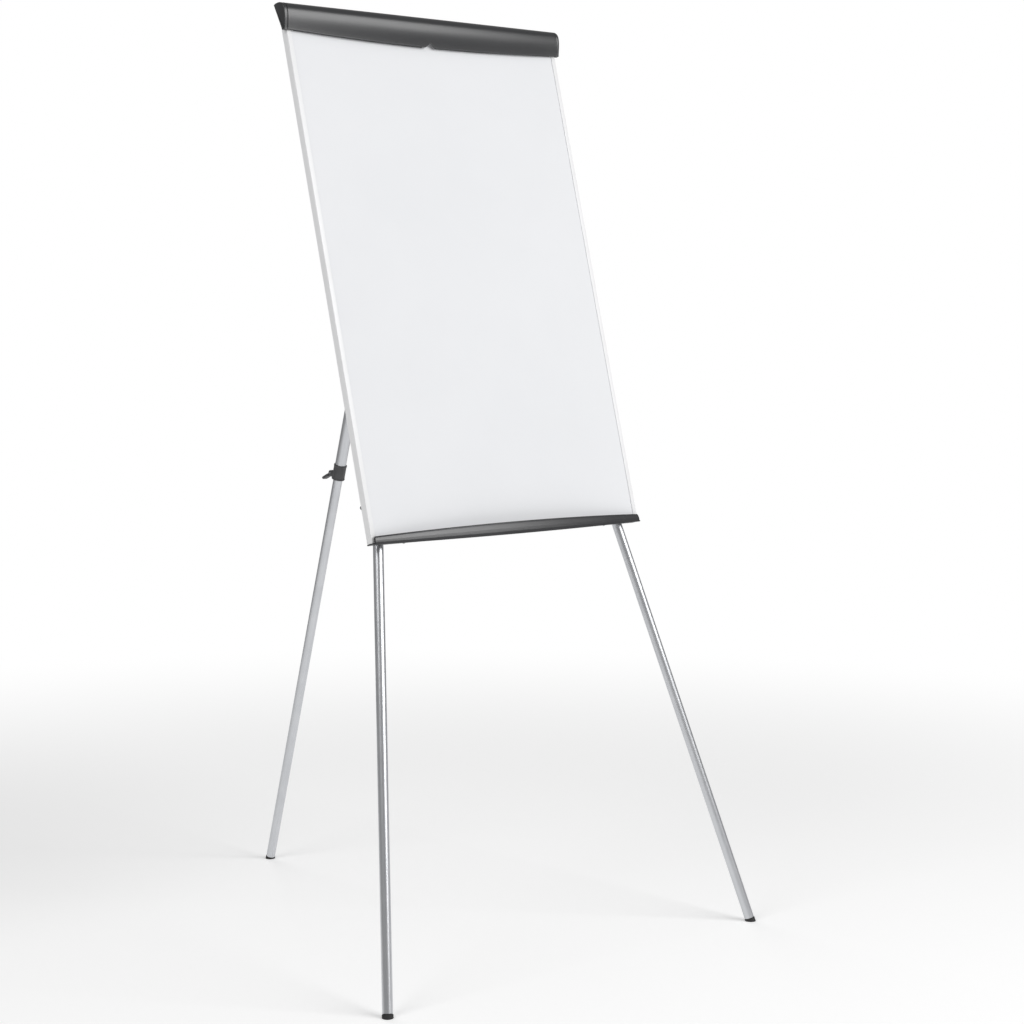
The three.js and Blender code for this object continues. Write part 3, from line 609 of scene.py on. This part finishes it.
# The side rails run the whole height, and the top and bottom rails fit between them
def addFrame():
    section = railSection()
    tall = board["height"]
    reach = halfWidth - rail["strip"] - rail["fit"]
    for name, side in legSide.items():
        flat = section.copy()
        flat[:, 0] = side * (halfWidth - flat[:, 0])
        shell = Shell(bar(flat, 0, tall, rail["edge"], "z"))
        makePiece(f"{name}Rail", [shell], onBoard, white, "board", (f"frame_{name}",))
    lower = section[:, ::-1]
    upper = np.column_stack([section[:, 1], tall - section[:, 0]])
    for name, flat in (("bottom", lower), ("top", upper)):
        shell = Shell(bar(flat, -reach, reach, rail["innerEdge"]))
        makePiece(f"{name}Rail", [shell], onBoard, white, "board", (f"frame_{name}",))
    finishNode("face_sheet", enamel())
    finishNode("core_board", coreBoard())
    finishNode("back_sheet", backSheet())


addFrame()
print("panel and frame made")


tray = {
    "thickness": 2.5, "back": 17, "endReach": 6, "middleReach": 25,
    "lipThickness": 2.5, "endHeight": 16, "middleHeight": 25,
    "lipInset": 3, "cornerRound": 3.5,
    "belly": 1.6, "topEase": 0.4,
    "edge": 0.5, "top": -0.3,
    "columns": 40, "cornerColumns": 8, "cornerPower": 0.6,
}


# 1 at the middle of the board and 0 at its sides
def parabola(x):
    return 1 - (x / halfWidth) ** 2


# The section at the middle is carried along x. The reach and the lip's height follow a parabola, the
# floor falls away with the board's tilt so that it lies level, and at its two ends the lip stops in a
# rounded corner: height - round * (1 - sqrt(1 - t * t)).
def addTray():
    t = tray
    droop = np.tan(np.arcsin(-onBoard.axes[1][2]))
    top = t["top"]
    low = top - t["thickness"]
    reach = t["middleReach"]
    inner = t["lipThickness"] - reach
    lipTop = low + t["middleHeight"]
    third = t["middleHeight"] / 3
    # heights are above the sloping floor
    corners = [(t["back"], top), (t["back"], low), (0, low), (-reach, low),
               (-reach - t["belly"] * 0.8, low + third * 0.8), (-reach - t["belly"], low + third * 1.6),
               (-reach - t["belly"] * 0.5, low + third * 2.5),
               (-reach + t["topEase"], lipTop), (inner, lipTop), (inner, top), (0, top)]
    radii = [0.8, 0.8, 0.1, 1.2, 8, 12, 8, 1.1, 1.1, 1.5, 0.1]
    section = rounded(corners, radii, 6)
    lipEnd = halfWidth - t["lipInset"]
    roundStart = lipEnd - t["cornerRound"]
    corner = np.linspace(0, 1, t["cornerColumns"]) ** t["cornerPower"] * t["cornerRound"]
    fromEnd, drawnIn = quarterEdge(t["edge"])
    run = np.linspace(0, roundStart, t["columns"])[1:-1]
    half = np.concatenate([run, roundStart + corner, [lipEnd], (halfWidth - fromEnd)[::-1]])
    isEnd = np.zeros(len(half))
    isEnd[-edgeSteps - 1:] = 1      # the lip's last column comes twice, with and without the lip
    x = np.concatenate([-half[::-1], [0], half])
    noLip = np.concatenate([isEnd[::-1], [0], isEnd])
    drawn = np.zeros(len(x))
    drawn[:edgeSteps] = drawnIn
    drawn[-edgeSteps:] = drawnIn[::-1]

    rows = np.array([inset(section, amount) if amount else section for amount in drawn])
    y, h = rows[..., 0], rows[..., 1]
    bow = parabola(x)[:, None]
    reachHere = t["endReach"] + (reach - t["endReach"]) * bow
    height = t["endHeight"] + (t["middleHeight"] - t["endHeight"]) * bow
    turn = np.clip((np.abs(x)[:, None] - roundStart) / t["cornerRound"], 0, 1)
    height = height - t["cornerRound"] * (1 - np.sqrt(1 - turn ** 2))
    lipScale = (height - t["thickness"]) / (t["middleHeight"] - t["thickness"])
    lipScale = lipScale * (1 - noLip[:, None])
    onFloor = y * (t["lipThickness"] - reachHere) / inner
    onLip = y + reach - reachHere
    newY = np.where(y >= 0, y, np.where(y > inner, onFloor, onLip))
    newH = np.where(h > top, top + (h - top) * lipScale, h)
    newZ = newH + np.minimum(newY, 0) * droop
    grid = np.stack([np.broadcast_to(x[:, None], newY.shape), newY, newZ], -1)
    makePiece("tray", [Shell(grid)], onBoard, grey, "board", ("marker_tray",))


addTray()
print("tray made")


clip = {
    "wall": 2.2, "reach": 20, "endShare": 0.72,
    "height": 67, "endRise": 10, "overhang": 8,
    "barrel": 7.2, "barrelEdge": 10,
    "browDrop": 24, "browRound": 6, "bellyDrop": 13.4, "bellyReach": 12, "lipPull": 14.7, "lipGap": 6.5,
    "notchWidth": 26, "notchHeight": 7.5, "gripGap": 34,
    "capEdgeAngle": 45, "capBackDepth": 4, "capEdge": 1.3, "capCorner": 2.5,
    "lipRound": 0.9,
    "columns": 56, "spacingPower": 0.9,     # points along each side of the section
    "fineReach": 16, "fineColumns": 65, "coarseStart": 18, "coarseColumns": 70,
}

hingeDepth = onBoard.back(onHinge.origin)[1]


# A cubic curve through the first and last of four points
def bezier(points, count):
    a, b, c, d = np.asarray(points, float)
    t = np.linspace(0, 1, count)[:, None]
    return (1 - t) ** 3 * a + 3 * (1 - t) ** 2 * t * b + 3 * (1 - t) * t ** 2 * c + t ** 3 * d


# The hood's outer line in (y, z) about the hinge pin: an arc over the barrel, a curve to the brow and a
# curve back under to the lower lip
def hoodLine(edgeAngle):
    c = clip
    top = c["barrel"]
    low = top - c["height"]
    pinDepth = -hingeDepth
    a = np.linspace(np.radians(edgeAngle), np.pi / 2, 24)
    arc = np.stack([top * np.cos(a), top * np.sin(a)], -1)
    brow = top - c["browDrop"]
    front = pinDepth - c["reach"]
    over = bezier([(0, top), (pinDepth, top), (front, top - c["browRound"]), (front, brow)], 80)
    under = bezier([(front, brow), (front, brow - c["bellyDrop"]),
                    (pinDepth - c["bellyReach"], low + c["lipPull"]), (pinDepth - c["lipGap"], low)], 80)
    return np.concatenate([arc, over[1:], under[1:]])


# Shifts an open line along its normals
def sideways(line, distance):
    along = np.gradient(line, axis=0)
    along /= np.linalg.norm(along, axis=1)[:, None]
    return line + np.stack([along[:, 1], -along[:, 0]], -1) * distance


# Towards its ends the hood reaches less far forward, by a share that follows the parabola, and it rises
# by an amount that grows from the barrel down to the lip
def hoodRule(x, y, z):
    c = clip
    bow = parabola(x)
    boardY = y + hingeDepth
    share = c["endShare"] + (1 - c["endShare"]) * bow
    newY = np.where(boardY < 0, boardY * share, boardY) - hingeDepth
    fall = np.maximum(0, c["barrel"] - z) / c["height"]
    return newY, z + c["endRise"] * (1 - bow) * fall


# Each column's section is the outer line and the line one wall inside it, both cut off at the lip, with
# a round lip between them. Near the middle the lip rises in a notch, height * s * s * (3 - 2 * s) with
# s = 1 - |x| / half width.
def addHood():
    c = clip
    line = hoodLine(c["barrelEdge"])
    inside = sideways(line, -c["wall"])
    low = c["barrel"] - c["height"]
    coarse = np.linspace(c["coarseStart"], halfWidth, c["coarseColumns"])
    fine = np.linspace(-c["fineReach"], c["fineReach"], c["fineColumns"])
    x = np.concatenate([-coarse[::-1], fine, coarse])
    slope = np.clip(1 - np.abs(x) / (c["notchWidth"] / 2), 0, 1)
    notch = c["notchHeight"] * slope * slope * (3 - 2 * slope)
    lip = low + c["lipRound"] + notch
    spread = np.linspace(0, 1, c["columns"]) ** c["spacingPower"]

    def cutLine(points):
        steps = np.linalg.norm(np.diff(points, axis=0), axis=1)
        along = np.concatenate([[0], np.cumsum(steps)])
        top = points[:, 1].argmax()
        end = np.interp(-lip, -points[top:, 1], along[top:])
        where = end[:, None] * spread
        return np.stack([np.interp(where, along, points[:, 0]), np.interp(where, along, points[:, 1])], -1)

    def roundEdge(first, last, steps=5):
        a = np.linspace(0, np.pi, steps + 2)[1:-1]
        middle = (first + last) / 2
        arm = (first - last) / 2
        out = np.stack([-arm[:, 1], arm[:, 0]], -1)
        return middle[:, None] + arm[:, None] * np.cos(a)[:, None] + out[:, None] * np.sin(a)[:, None]

    outer = cutLine(line)
    inner = cutLine(inside)[:, ::-1]
    lipEdge = roundEdge(outer[:, -1], inner[:, 0])
    rearEdge = roundEdge(inner[:, -1], outer[:, 0])
    section = np.concatenate([outer, lipEdge, inner, rearEdge], 1)
    y, z = hoodRule(x[:, None], section[..., 0], section[..., 1])
    grid = np.stack([np.broadcast_to(x[:, None], y.shape), y, z], -1)
    makePiece("hood", [Shell(grid)], onHinge, grey, "clip", ("clip_bar",), crease=40)


# The cap's outline is the hood's line at its end, closed straight across the board's side with a round
# corner. It runs outwards for the overhang, and its edges are drawn in along a quarter circle.
def addCaps():
    c = clip
    y, z = hoodRule(halfWidth, *hoodLine(c["capEdgeAngle"]).T)
    front = np.stack([y, z], -1)[::2]
    corner = (c["capBackDepth"] - hingeDepth, z[-1])
    radii = np.zeros(len(front) + 2)
    radii[-1] = c["capCorner"]
    outline = rounded(np.concatenate([front, [(y[-1], z[-1])], [corner]]), radii)
    cap = bar(outline, 0, c["overhang"], c["capEdge"])
    for name, side in legSide.items():
        grid = (cap + (halfWidth + rail["fit"], 0, 0)) * (side, 1, 1)
        makePiece(f"{name}Cap", [Shell(grid)], onHinge, grey, "clip",
                  (f"clip_cap_{name}",), crease=40)


addHood()
addCaps()
softened("grip", "grip_strip", gum, "clip", 0.3, gap=clip["gripGap"])
finishNode("clip_pin", zincNode)
print("clip made")


spring = {
    "place": 200, "radius": 3.4, "wire": 0.6, "turns": 6, "pitch": 1.7,
    "steps": 40, "wireSides": 12,
}


# The wire's middle line is a helix about the pin: (pitch * turn, radius * cos, radius * sin). A circle
# is carried along it.
def addSprings():
    s = spring
    turn = np.linspace(0, s["turns"], s["turns"] * s["steps"])
    a = 2 * np.pi * turn
    across = s["radius"] * np.cos(a)
    helix = np.stack([(turn - s["turns"] / 2) * s["pitch"], across, s["radius"] * np.sin(a)], -1)
    along = np.gradient(helix, axis=0)
    along /= np.linalg.norm(along, axis=1)[:, None]
    outward = helix * (0, 1, 1)
    outward /= np.linalg.norm(outward, axis=1)[:, None]
    outward -= along * (outward * along).sum(1)[:, None]
    third = np.cross(along, outward)
    b = np.linspace(0, 2 * np.pi, s["wireSides"], endpoint=False)[:, None]
    grid = helix[:, None] + s["wire"] * (outward[:, None] * np.cos(b) + third[:, None] * np.sin(b))
    for name, side in legSide.items():
        place = onHinge.moved(side * s["place"])
        makePiece(f"{name}Spring", [Shell(grid)], place, zinc, "board", (f"clip_spring_{name}",))


peg = {
    "flange": 4, "flangeEase": 0.4, "flangeThickness": 1,
    "neck": 1.7, "radius": 3.5, "shoulder": -2.6, "shoulderEase": 0.3, "nose": 1.2,
}


# A peg: flange, neck through the slot, shoulder and round-nosed body, turned about its axis. The nose is
# a quarter circle.
def addPegs():
    p = peg
    wide, radius, nose, shoulder = p["flange"], p["radius"], p["nose"], p["shoulder"]
    v = np.linspace(0, np.pi / 2, 8)
    for name in legSide:
        low, high = span(f"pad_peg_{name}", onBoard)
        middle = (low + high) / 2
        tip = low[1]
        back = high[1]
        inner = back - p["flangeThickness"]
        start = [(0, back), (wide - p["flangeEase"], back), (wide, back - p["flangeEase"]), (wide, inner),
                 (p["neck"], inner), (p["neck"], shoulder), (radius - p["shoulderEase"], shoulder),
                 (radius, shoulder - p["shoulderEase"])]
        front = np.column_stack([radius - nose * (1 - np.cos(v)), tip + nose * (1 - np.sin(v))])
        grid = towardsY(turned(np.concatenate([start, front, [(0, tip)]]), 40))
        place = onBoard.moved(middle[0], 0, middle[2])
        makePiece(f"{name}Peg", [Shell(grid, True)], place, black, f"{name}_peg",
                  (f"pad_peg_{name}",))


addSprings()
addPegs()
softened("pegRail", "clip_rail", zincNode, "board", 0.35)
print("rail, springs and pegs made")


screwHead = {
    "hub": {"radius": 2, "head": 4.5, "height": 2.4, "length": 9},
    "tray": {"radius": 1.3, "head": 2.4, "height": 1.6, "length": 8},
    "rimShare": 0.25, "ease": 0.2, "domePower": 2.4,
    "slotShare": 0.62, "slotWidth": 0.17, "slotDepth": 0.62,
    "slotLevel": 1.6, "slotSlope": 1.1, "slotEnd": 0.12,
}


# Turned about z: the dome is height * (rim + (1 - rim) * (1 - (r / head)^power)). A cross is sunk into it
# where either coordinate is near the axis: level - slope * nearest / width, kept between 0 and 1.
def screwGrid(kind):
    s = screwHead[kind]
    head = s["head"]
    r = np.linspace(1, 0, 22)
    rim = screwHead["rimShare"]
    ease = screwHead["ease"]
    dome = np.stack([head * r, s["height"] * (rim + (1 - rim) * (1 - r ** screwHead["domePower"]))], -1)
    shank = [(0, -s["length"]), (s["radius"] / 2, -s["length"]), (s["radius"], s["radius"] - s["length"]),
             (s["radius"], 0), (head - ease, 0), (head, ease)]
    grid = turned(np.concatenate([shank, dome]), 72)
    x, y, z = np.moveaxis(grid, -1, 0)
    distance = np.hypot(x, y)
    nearest = np.minimum(np.abs(x), np.abs(y))
    width = screwHead["slotWidth"] * head
    arm = np.clip(screwHead["slotLevel"] - nearest / width * screwHead["slotSlope"], 0, 1)
    inside = np.clip((screwHead["slotShare"] * head - distance) / (screwHead["slotEnd"] * head), 0, 1)
    depth = screwHead["slotDepth"] * s["height"] * arm * inside
    return np.stack([x, y, np.where(z > 0, z - depth, z)], -1)


# Seats a screw where its node lies, with its head to the back of the board or downwards
def addScrew(name, node, grid, place, towards):
    low, high = span(node, place)
    middle = (low + high) / 2
    if towards == "down":
        seat = high[2] - screwHead["tray"]["length"]
        grid = grid * (1, 1, -1)
        spot = place.moved(middle[0], middle[1], seat)
    else:
        seat = low[1] + screwHead["hub"]["length"]
        grid = towardsY(grid)
        spot = place.moved(middle[0], seat, middle[2])
    makePiece(name, [Shell(grid, True)], spot, zinc, "board", (node,), crease=28)


rivet = {
    "flange": 9, "flangeThickness": 3, "flangeEase": 0.4, "flangeSlope": 0.6,
    "shank": 5, "frontPin": 3, "rearPin": 4,
    "headReach": 3, "headHeight": 3, "frontRim": 0.6, "rearRim": 0.5,
}


# A domed head: radius * cos v, with its rim and then (height - rim) * sin v above the height cap
def rivetDome(pin, cap, rim):
    v = np.linspace(0, np.pi / 2, 8)
    radius = pin + rivet["headReach"]
    dome = np.column_stack([radius * np.cos(v), cap + rim + (rivet["headHeight"] - rim) * np.sin(v)])
    return np.concatenate([[(pin, cap), (radius, cap)], dome])


# A flange against the hub, a shank that spaces the leg, a pin through it and a domed head
def addFrontRivet(name):
    node = f"{name}_leg_pivot"
    low, high = span(node, onLeg[name])
    r = rivet
    flange, ease, slope = r["flange"], r["flangeEase"], r["flangeSlope"]
    pin = r["frontPin"]
    cap = high[1] - r["headHeight"]
    base = low[1]
    top = base + r["flangeThickness"]
    start = [(0, base), (flange - ease, base), (flange, base + ease), (flange, top - slope),
             (flange - slope, top), (r["shank"], top), (r["shank"], -cap), (pin, -cap)]
    grid = towardsY(turned(np.concatenate([start, rivetDome(pin, cap, r["frontRim"])]), 48))
    makePiece(f"{name}Pivot", [Shell(grid, True)], onLeg[name], zinc, "board", (node,))


# A pin with the same domed head at both ends
def addRearRivet():
    high = span("rear_leg_pivot", onLeg["rear"])[1]
    half = rivetDome(rivet["rearPin"], high[0] - rivet["headHeight"], rivet["rearRim"])[::-1]
    profile = np.concatenate([half, half[::-1] * (1, -1)])
    grid = towardsX(turned(profile, 48))
    makePiece("rearPivot", [Shell(grid, True)], onLeg["rear"], zinc, "board", ("rear_leg_pivot",))


hub = {
    "corner": 12, "thickness": 2.5, "edge": 0.5,
    "cheek": 3, "cheekRadius": 14, "rootRise": 22, "cheekGap": 0.4,
}


# The bracket: a plate with rounded corners, and two cheeks, each a straight run of an outline that goes
# from the plate to a half circle about the rear pivot
def addHub():
    h = hub
    low, high = span("hub_bracket", onBoard)
    pivot = onBoard.back(onLeg["rear"].origin)
    corners = [(low[0], low[2]), (high[0], low[2]), (high[0], high[2]), (low[0], high[2])]
    plate = Shell(bar(rounded(corners, h["corner"], 12), low[1], low[1] + h["thickness"], h["edge"], "y"))
    root = low[1] + h["thickness"] / 2
    around = np.linspace(-np.pi / 2, np.pi / 2, 32)
    nose = np.stack([pivot[1] + h["cheekRadius"] * np.cos(around), h["cheekRadius"] * np.sin(around)], -1)
    outline = np.concatenate([nose, [(root, h["rootRise"]), (root, -h["rootRise"])]])
    inner = span("rear_leg_head", onLeg["rear"])[1][0] + h["cheekGap"]
    shells = [plate]
    for side in (-1, 1):
        ends = sorted([side * inner, side * (inner + h["cheek"])])
        shells.append(Shell(bar(outline, *ends, h["edge"]) + (0, 0, pivot[2])))
    makePiece("hubBracket", shells, onBoard, zinc, "board", ("hub_bracket",))


hubScrew = screwGrid("hub")
trayScrew = screwGrid("tray")
for i in range(1, 5):
    addScrew(f"hubScrew{i}", f"hub_screw_{i}", hubScrew, onBoard, "back")
for i in range(1, 4):
    addScrew(f"trayScrew{i}", f"tray_screw_{i}", trayScrew, onBoard, "down")
for name in legSide:
    addScrew(f"{name}SaddleScrew", f"{name}_saddle_screw", hubScrew, onLeg[name], "back")
    addFrontRivet(name)
    softened(f"{name}LegRest", f"{name}_saddle", hidden, "board", 0.6)
addRearRivet()
addHub()
print("hub, rests, screws and rivets made")


leg = {
    "tubeSides": 72, "tubeEdge": 0.35,
    "lower": 10, "lowerBore": 9, "upper": 12, "upperBore": 10.8,
}


# A hollow tube: its wall's section, with eased edges, turned about z
def tubeGrid(outer, bore, low, high):
    e = leg["tubeEdge"]
    ends = np.array([(bore + e, low), (outer - e, low), (outer, low + e), (outer, high - e),
                     (outer - e, high), (bore + e, high), (bore, high - e), (bore, low + e)])
    return turned(ends, leg["tubeSides"])


legHead = {
    "base": -17.7, "edge": 1.2,
    "plug": 10.5, "plugTop": -9, "plugEase": 0.8,
}


# The head's eye is a plate with a half circle about the pivot, and its plug, turned about z, goes down
# the tube
def headShells(name):
    h = legHead
    low, high = span(f"{name}_leg_head", onLeg[name])
    across = 0 if name == "rear" else 1
    around = np.linspace(0, np.pi, 40)
    radius = high[2]
    arc = np.stack([radius * np.cos(around), radius * np.sin(around)], -1)
    outline = np.concatenate([arc, [(-radius, h["base"]), (radius, h["base"])]])
    eye = bar(outline, low[across], high[across], h["edge"], "xy"[across])
    plug = turned([(0, low[2]), (h["plug"] - h["plugEase"], low[2]), (h["plug"], low[2] + h["plugEase"]),
                   (h["plug"], h["plugTop"]), (0, h["plugTop"])], 48)
    return [Shell(eye), Shell(plug, True)]


collar = {
    "bore": 10.3, "upperBore": 12.3, "outer": 14.3, "waist": 13.7,
    "band": 3.2, "bandSlope": 2.3, "step": 15.7,
    "slit": 2, "rim": 2.4, "rimSlope": 2, "rimRound": 0.8,
    "lugThickness": 3.5, "lugRadius": 6, "lugGap": 8.6, "lugOut": 22, "lugDrop": 9,
    "lugRoot": 1.7, "lugFlare": 2.5, "lugEdge": 0.6,
}


# The collar's wall section (radius, height) is carried round the leg from one side of the slit to the
# other: x = radius * sin a, y = radius * cos a. Two rounded lugs hold the lever's pin.
def collarShells(low, high):
    c = collar
    band = low + c["band"]
    rim = high - c["rim"]
    step = low + c["step"]
    corners = [(c["bore"], low), (c["outer"], low), (c["outer"], band), (c["waist"], band + c["bandSlope"]),
               (c["waist"], rim - c["rimSlope"]), (c["outer"], rim), (c["outer"], high),
               (c["upperBore"], high), (c["upperBore"], step), (c["bore"], step)]
    section = rounded(corners, [0.5, 1.2, 1.5, 2.5, 2.5, 1.2, c["rimRound"], 0.3, 0.1, 0.1], 6)
    gap = np.arcsin(c["slit"] / 2 / c["outer"])
    a = np.linspace(gap, 2 * np.pi - gap, 90)[:, None]
    radius, height = section.T
    ring = np.stack([radius * np.sin(a), radius * np.cos(a), height + 0 * a], -1)
    root = c["outer"] - c["lugRoot"]
    around = np.linspace(-np.pi / 2, np.pi / 2, 20)
    nose = np.stack([c["lugOut"] + c["lugRadius"] * np.cos(around),
                     c["lugRadius"] * np.sin(around) - c["lugDrop"]], -1)
    back = [(root, c["lugRadius"] + c["lugFlare"] - c["lugDrop"]), (root, -c["lugRadius"] - c["lugDrop"])]
    outline = np.concatenate([nose, back])
    half = c["lugThickness"] / 2
    middles = [side * (c["lugGap"] / 2 + half) for side in (-1, 1)]
    return [Shell(ring)] + [Shell(bar(outline, m - half, m + half, c["lugEdge"])) for m in middles]


lever = {
    "head": 6, "neckWidth": 8, "length": 36.5, "droop": 40,
    "thickness": 7, "tip": 6, "width": 14, "paddleStart": 11,
    "neckEdge": 0.5, "neckOverlap": 4, "startRound": 6, "tipRound": 5, "tipPower": 2.4, "shoulder": 1.6,
    "squareness": 0.45,     # power of the superellipse: 1 is an ellipse, 0 a rectangle
    "ridges": 3, "ridgePitch": 3.2, "ridgeDepth": 0.35, "ridgeWidth": 0.7, "ridgeFromTip": 6,
}


# The paddle is a function of length u and angle v: a superellipse whose half width and half thickness
# change with u and close in a round at both ends. Ridges for the thumb cross its outer half.
def leverShells():
    v = lever
    edge = v["thickness"] / 2
    start = np.arcsin(edge / v["head"])
    around = np.linspace(start, 2 * np.pi - start, 40)
    cam = np.stack([v["head"] * np.cos(around), v["head"] * np.sin(around)], -1)
    low = v["paddleStart"]
    neckEnd = low + v["neckOverlap"]
    neck = np.concatenate([cam, [(neckEnd, -edge), (neckEnd, edge)]])
    neckShell = bar(neck, -v["neckWidth"] / 2, v["neckWidth"] / 2, v["neckEdge"])

    u = np.linspace(0, 1, 70)
    s = low + (v["length"] - low) * (1 - np.cos(np.pi * u)) / 2
    fromStart = np.clip((s - low) / v["startRound"], 0, 1)
    fromTip = np.clip((v["length"] - s) / v["tipRound"], 0, 1)
    roundStart = np.sqrt(np.clip(1 - (1 - fromStart) ** 2, 0, 1))
    roundTip = np.sqrt(np.clip(1 - (1 - fromTip) ** v["tipPower"], 0, 1))
    halfWide = (v["neckWidth"] / 2 + (v["width"] - v["neckWidth"]) / 2 * roundStart) * roundTip
    halfWide = np.where(s == low, 0, halfWide * np.minimum(1, roundStart * v["shoulder"]))
    taper = (v["thickness"] + (v["tip"] - v["thickness"]) * (s - low) / (v["length"] - low)) / 2
    ridge = np.zeros(len(s))
    for i in range(v["ridges"]):
        middle = v["length"] - v["ridgeFromTip"] - i * v["ridgePitch"]
        ridge += np.exp(-((s - middle) / v["ridgeWidth"]) ** 2)
    halfThick = (taper - v["ridgeDepth"] * ridge) * np.minimum(roundStart, roundTip)
    a = np.linspace(0, 2 * np.pi, 40, endpoint=False)
    wide = np.sign(np.cos(a)) * np.abs(np.cos(a)) ** v["squareness"]
    thick = np.sign(np.sin(a)) * np.abs(np.sin(a)) ** v["squareness"]
    paddle = np.stack([halfWide[:, None] * wide, s[:, None] + 0 * wide, halfThick[:, None] * thick], -1)
    droop = np.radians(-v["droop"])
    spin = np.array([[1, 0, 0], [0, np.cos(droop), np.sin(droop)], [0, -np.sin(droop), np.cos(droop)]])
    return [Shell(neckShell @ spin), Shell(paddle @ spin)]


foot = {
    "radius": 10.8, "plug": 8.6,
    "ribs": 4, "ribStart": 2, "ribPitch": 2.1, "ribDepth": 0.3, "ribWidth": 0.45, "edge": 1.2,
    "bottomRound": 0.6, "bottomRise": 0.4, "topEase": 0.35,
    "rows": 38,             # points up the side
}


# Turned about the leg's axis, with grooves of depth * exp(-(distance / width)^2) between its ribs. Each
# side line runs down to the floor, to where origin.z + x * xAxis.z + y * yAxis.z + z * zAxis.z is nought.
def footGrid(place, top, high):
    f = foot
    a = np.linspace(0, 2 * np.pi, 72, endpoint=False)[:, None]
    rows = f["rows"]
    sideEnd = rows + 2
    outer = f["radius"]
    radius = np.concatenate([[0, outer - f["bottomRound"]], np.full(rows, outer),
                             [outer - f["topEase"], outer - f["edge"], f["plug"], f["plug"], 0]])
    x = radius * np.cos(a)
    y = radius * np.sin(a)
    up = place.axes[:, 2]
    floorZ = -(place.origin[2] / mm + x * up[0] + y * up[1]) / up[2]
    rise = np.concatenate([[0, 0], np.linspace(0, 1, rows)])
    height = np.empty_like(x)
    height[:, :sideEnd] = floorZ[:, :sideEnd] + (top - f["edge"] - floorZ[:, :sideEnd]) * rise
    height[:, 2] += f["bottomRise"]
    height[:, sideEnd:] = [top - f["topEase"], top, top, high, high]
    groove = np.zeros_like(x)
    for i in range(f["ribs"]):
        centre = top - f["edge"] - f["ribStart"] - i * f["ribPitch"]
        groove += f["ribDepth"] * np.exp(-((height - centre) / f["ribWidth"]) ** 2)
    groove[:, :3] = 0
    groove[:, sideEnd:] = 0
    safe = np.where(radius > 0, (radius - groove) / np.maximum(radius, 1e-6), 1)
    return np.stack([x * safe, y * safe, height], -1)


leverPin = {"radius": 1.5, "ease": 0.3}


# One leg: two tubes, foot, collar, lever, head and the lever's pin, each at the place of its CAD node
def addLeg(name):
    place = onLeg[name]
    body = f"{name}_leg"
    inner = f"{name}_leg_extension"
    low, high = span(f"{name}_upper_tube", place)
    makePiece(f"{name}UpperTube", [Shell(tubeGrid(leg["upper"], leg["upperBore"], low[2], high[2]), True)],
              place, tubeMetal, body, (f"{name}_upper_tube",))
    tubeEnd = low[2]
    low, high = span(f"{name}_lower_tube", place)
    makePiece(f"{name}LowerTube", [Shell(tubeGrid(leg["lower"], leg["lowerBore"], low[2], high[2]), True)],
              place, tubeMetal, inner, (f"{name}_lower_tube",))
    footTop = low[2] - rail["fit"]
    high = span(f"{name}_foot", place)[1]
    makePiece(f"{name}Foot", [Shell(footGrid(place, footTop, high[2]), True)], place, gum, inner,
              (f"{name}_foot",))
    atEnd = place.moved(z=tubeEnd)
    low, high = span(f"{name}_collar", atEnd)
    makePiece(f"{name}Collar", collarShells(low[2], high[2]), atEnd, black, body,
              (f"{name}_collar",))
    makePiece(f"{name}Lever", leverShells(), onLever[name], black, f"{name}_clamp",
              (f"{name}_lever",))
    makePiece(f"{name}Head", headShells(name), place, black, body, (f"{name}_leg_head",))
    low, high = span(f"{name}_lever_pin", onLever[name])
    radius, ease = leverPin["radius"], leverPin["ease"]
    pin = towardsX(turned([(0, low[0]), (radius - ease, low[0]), (radius, low[0] + ease),
                           (radius, high[0] - ease), (radius - ease, high[0]), (0, high[0])], 32))
    makePiece(f"{name}LeverPin", [Shell(pin, True)], onLever[name], zinc, body,
              (f"{name}_lever_pin",))
    finishNode(f"{name}_slide_bush", hidden)


for name in sides:
    addLeg(name)
print("legs made")
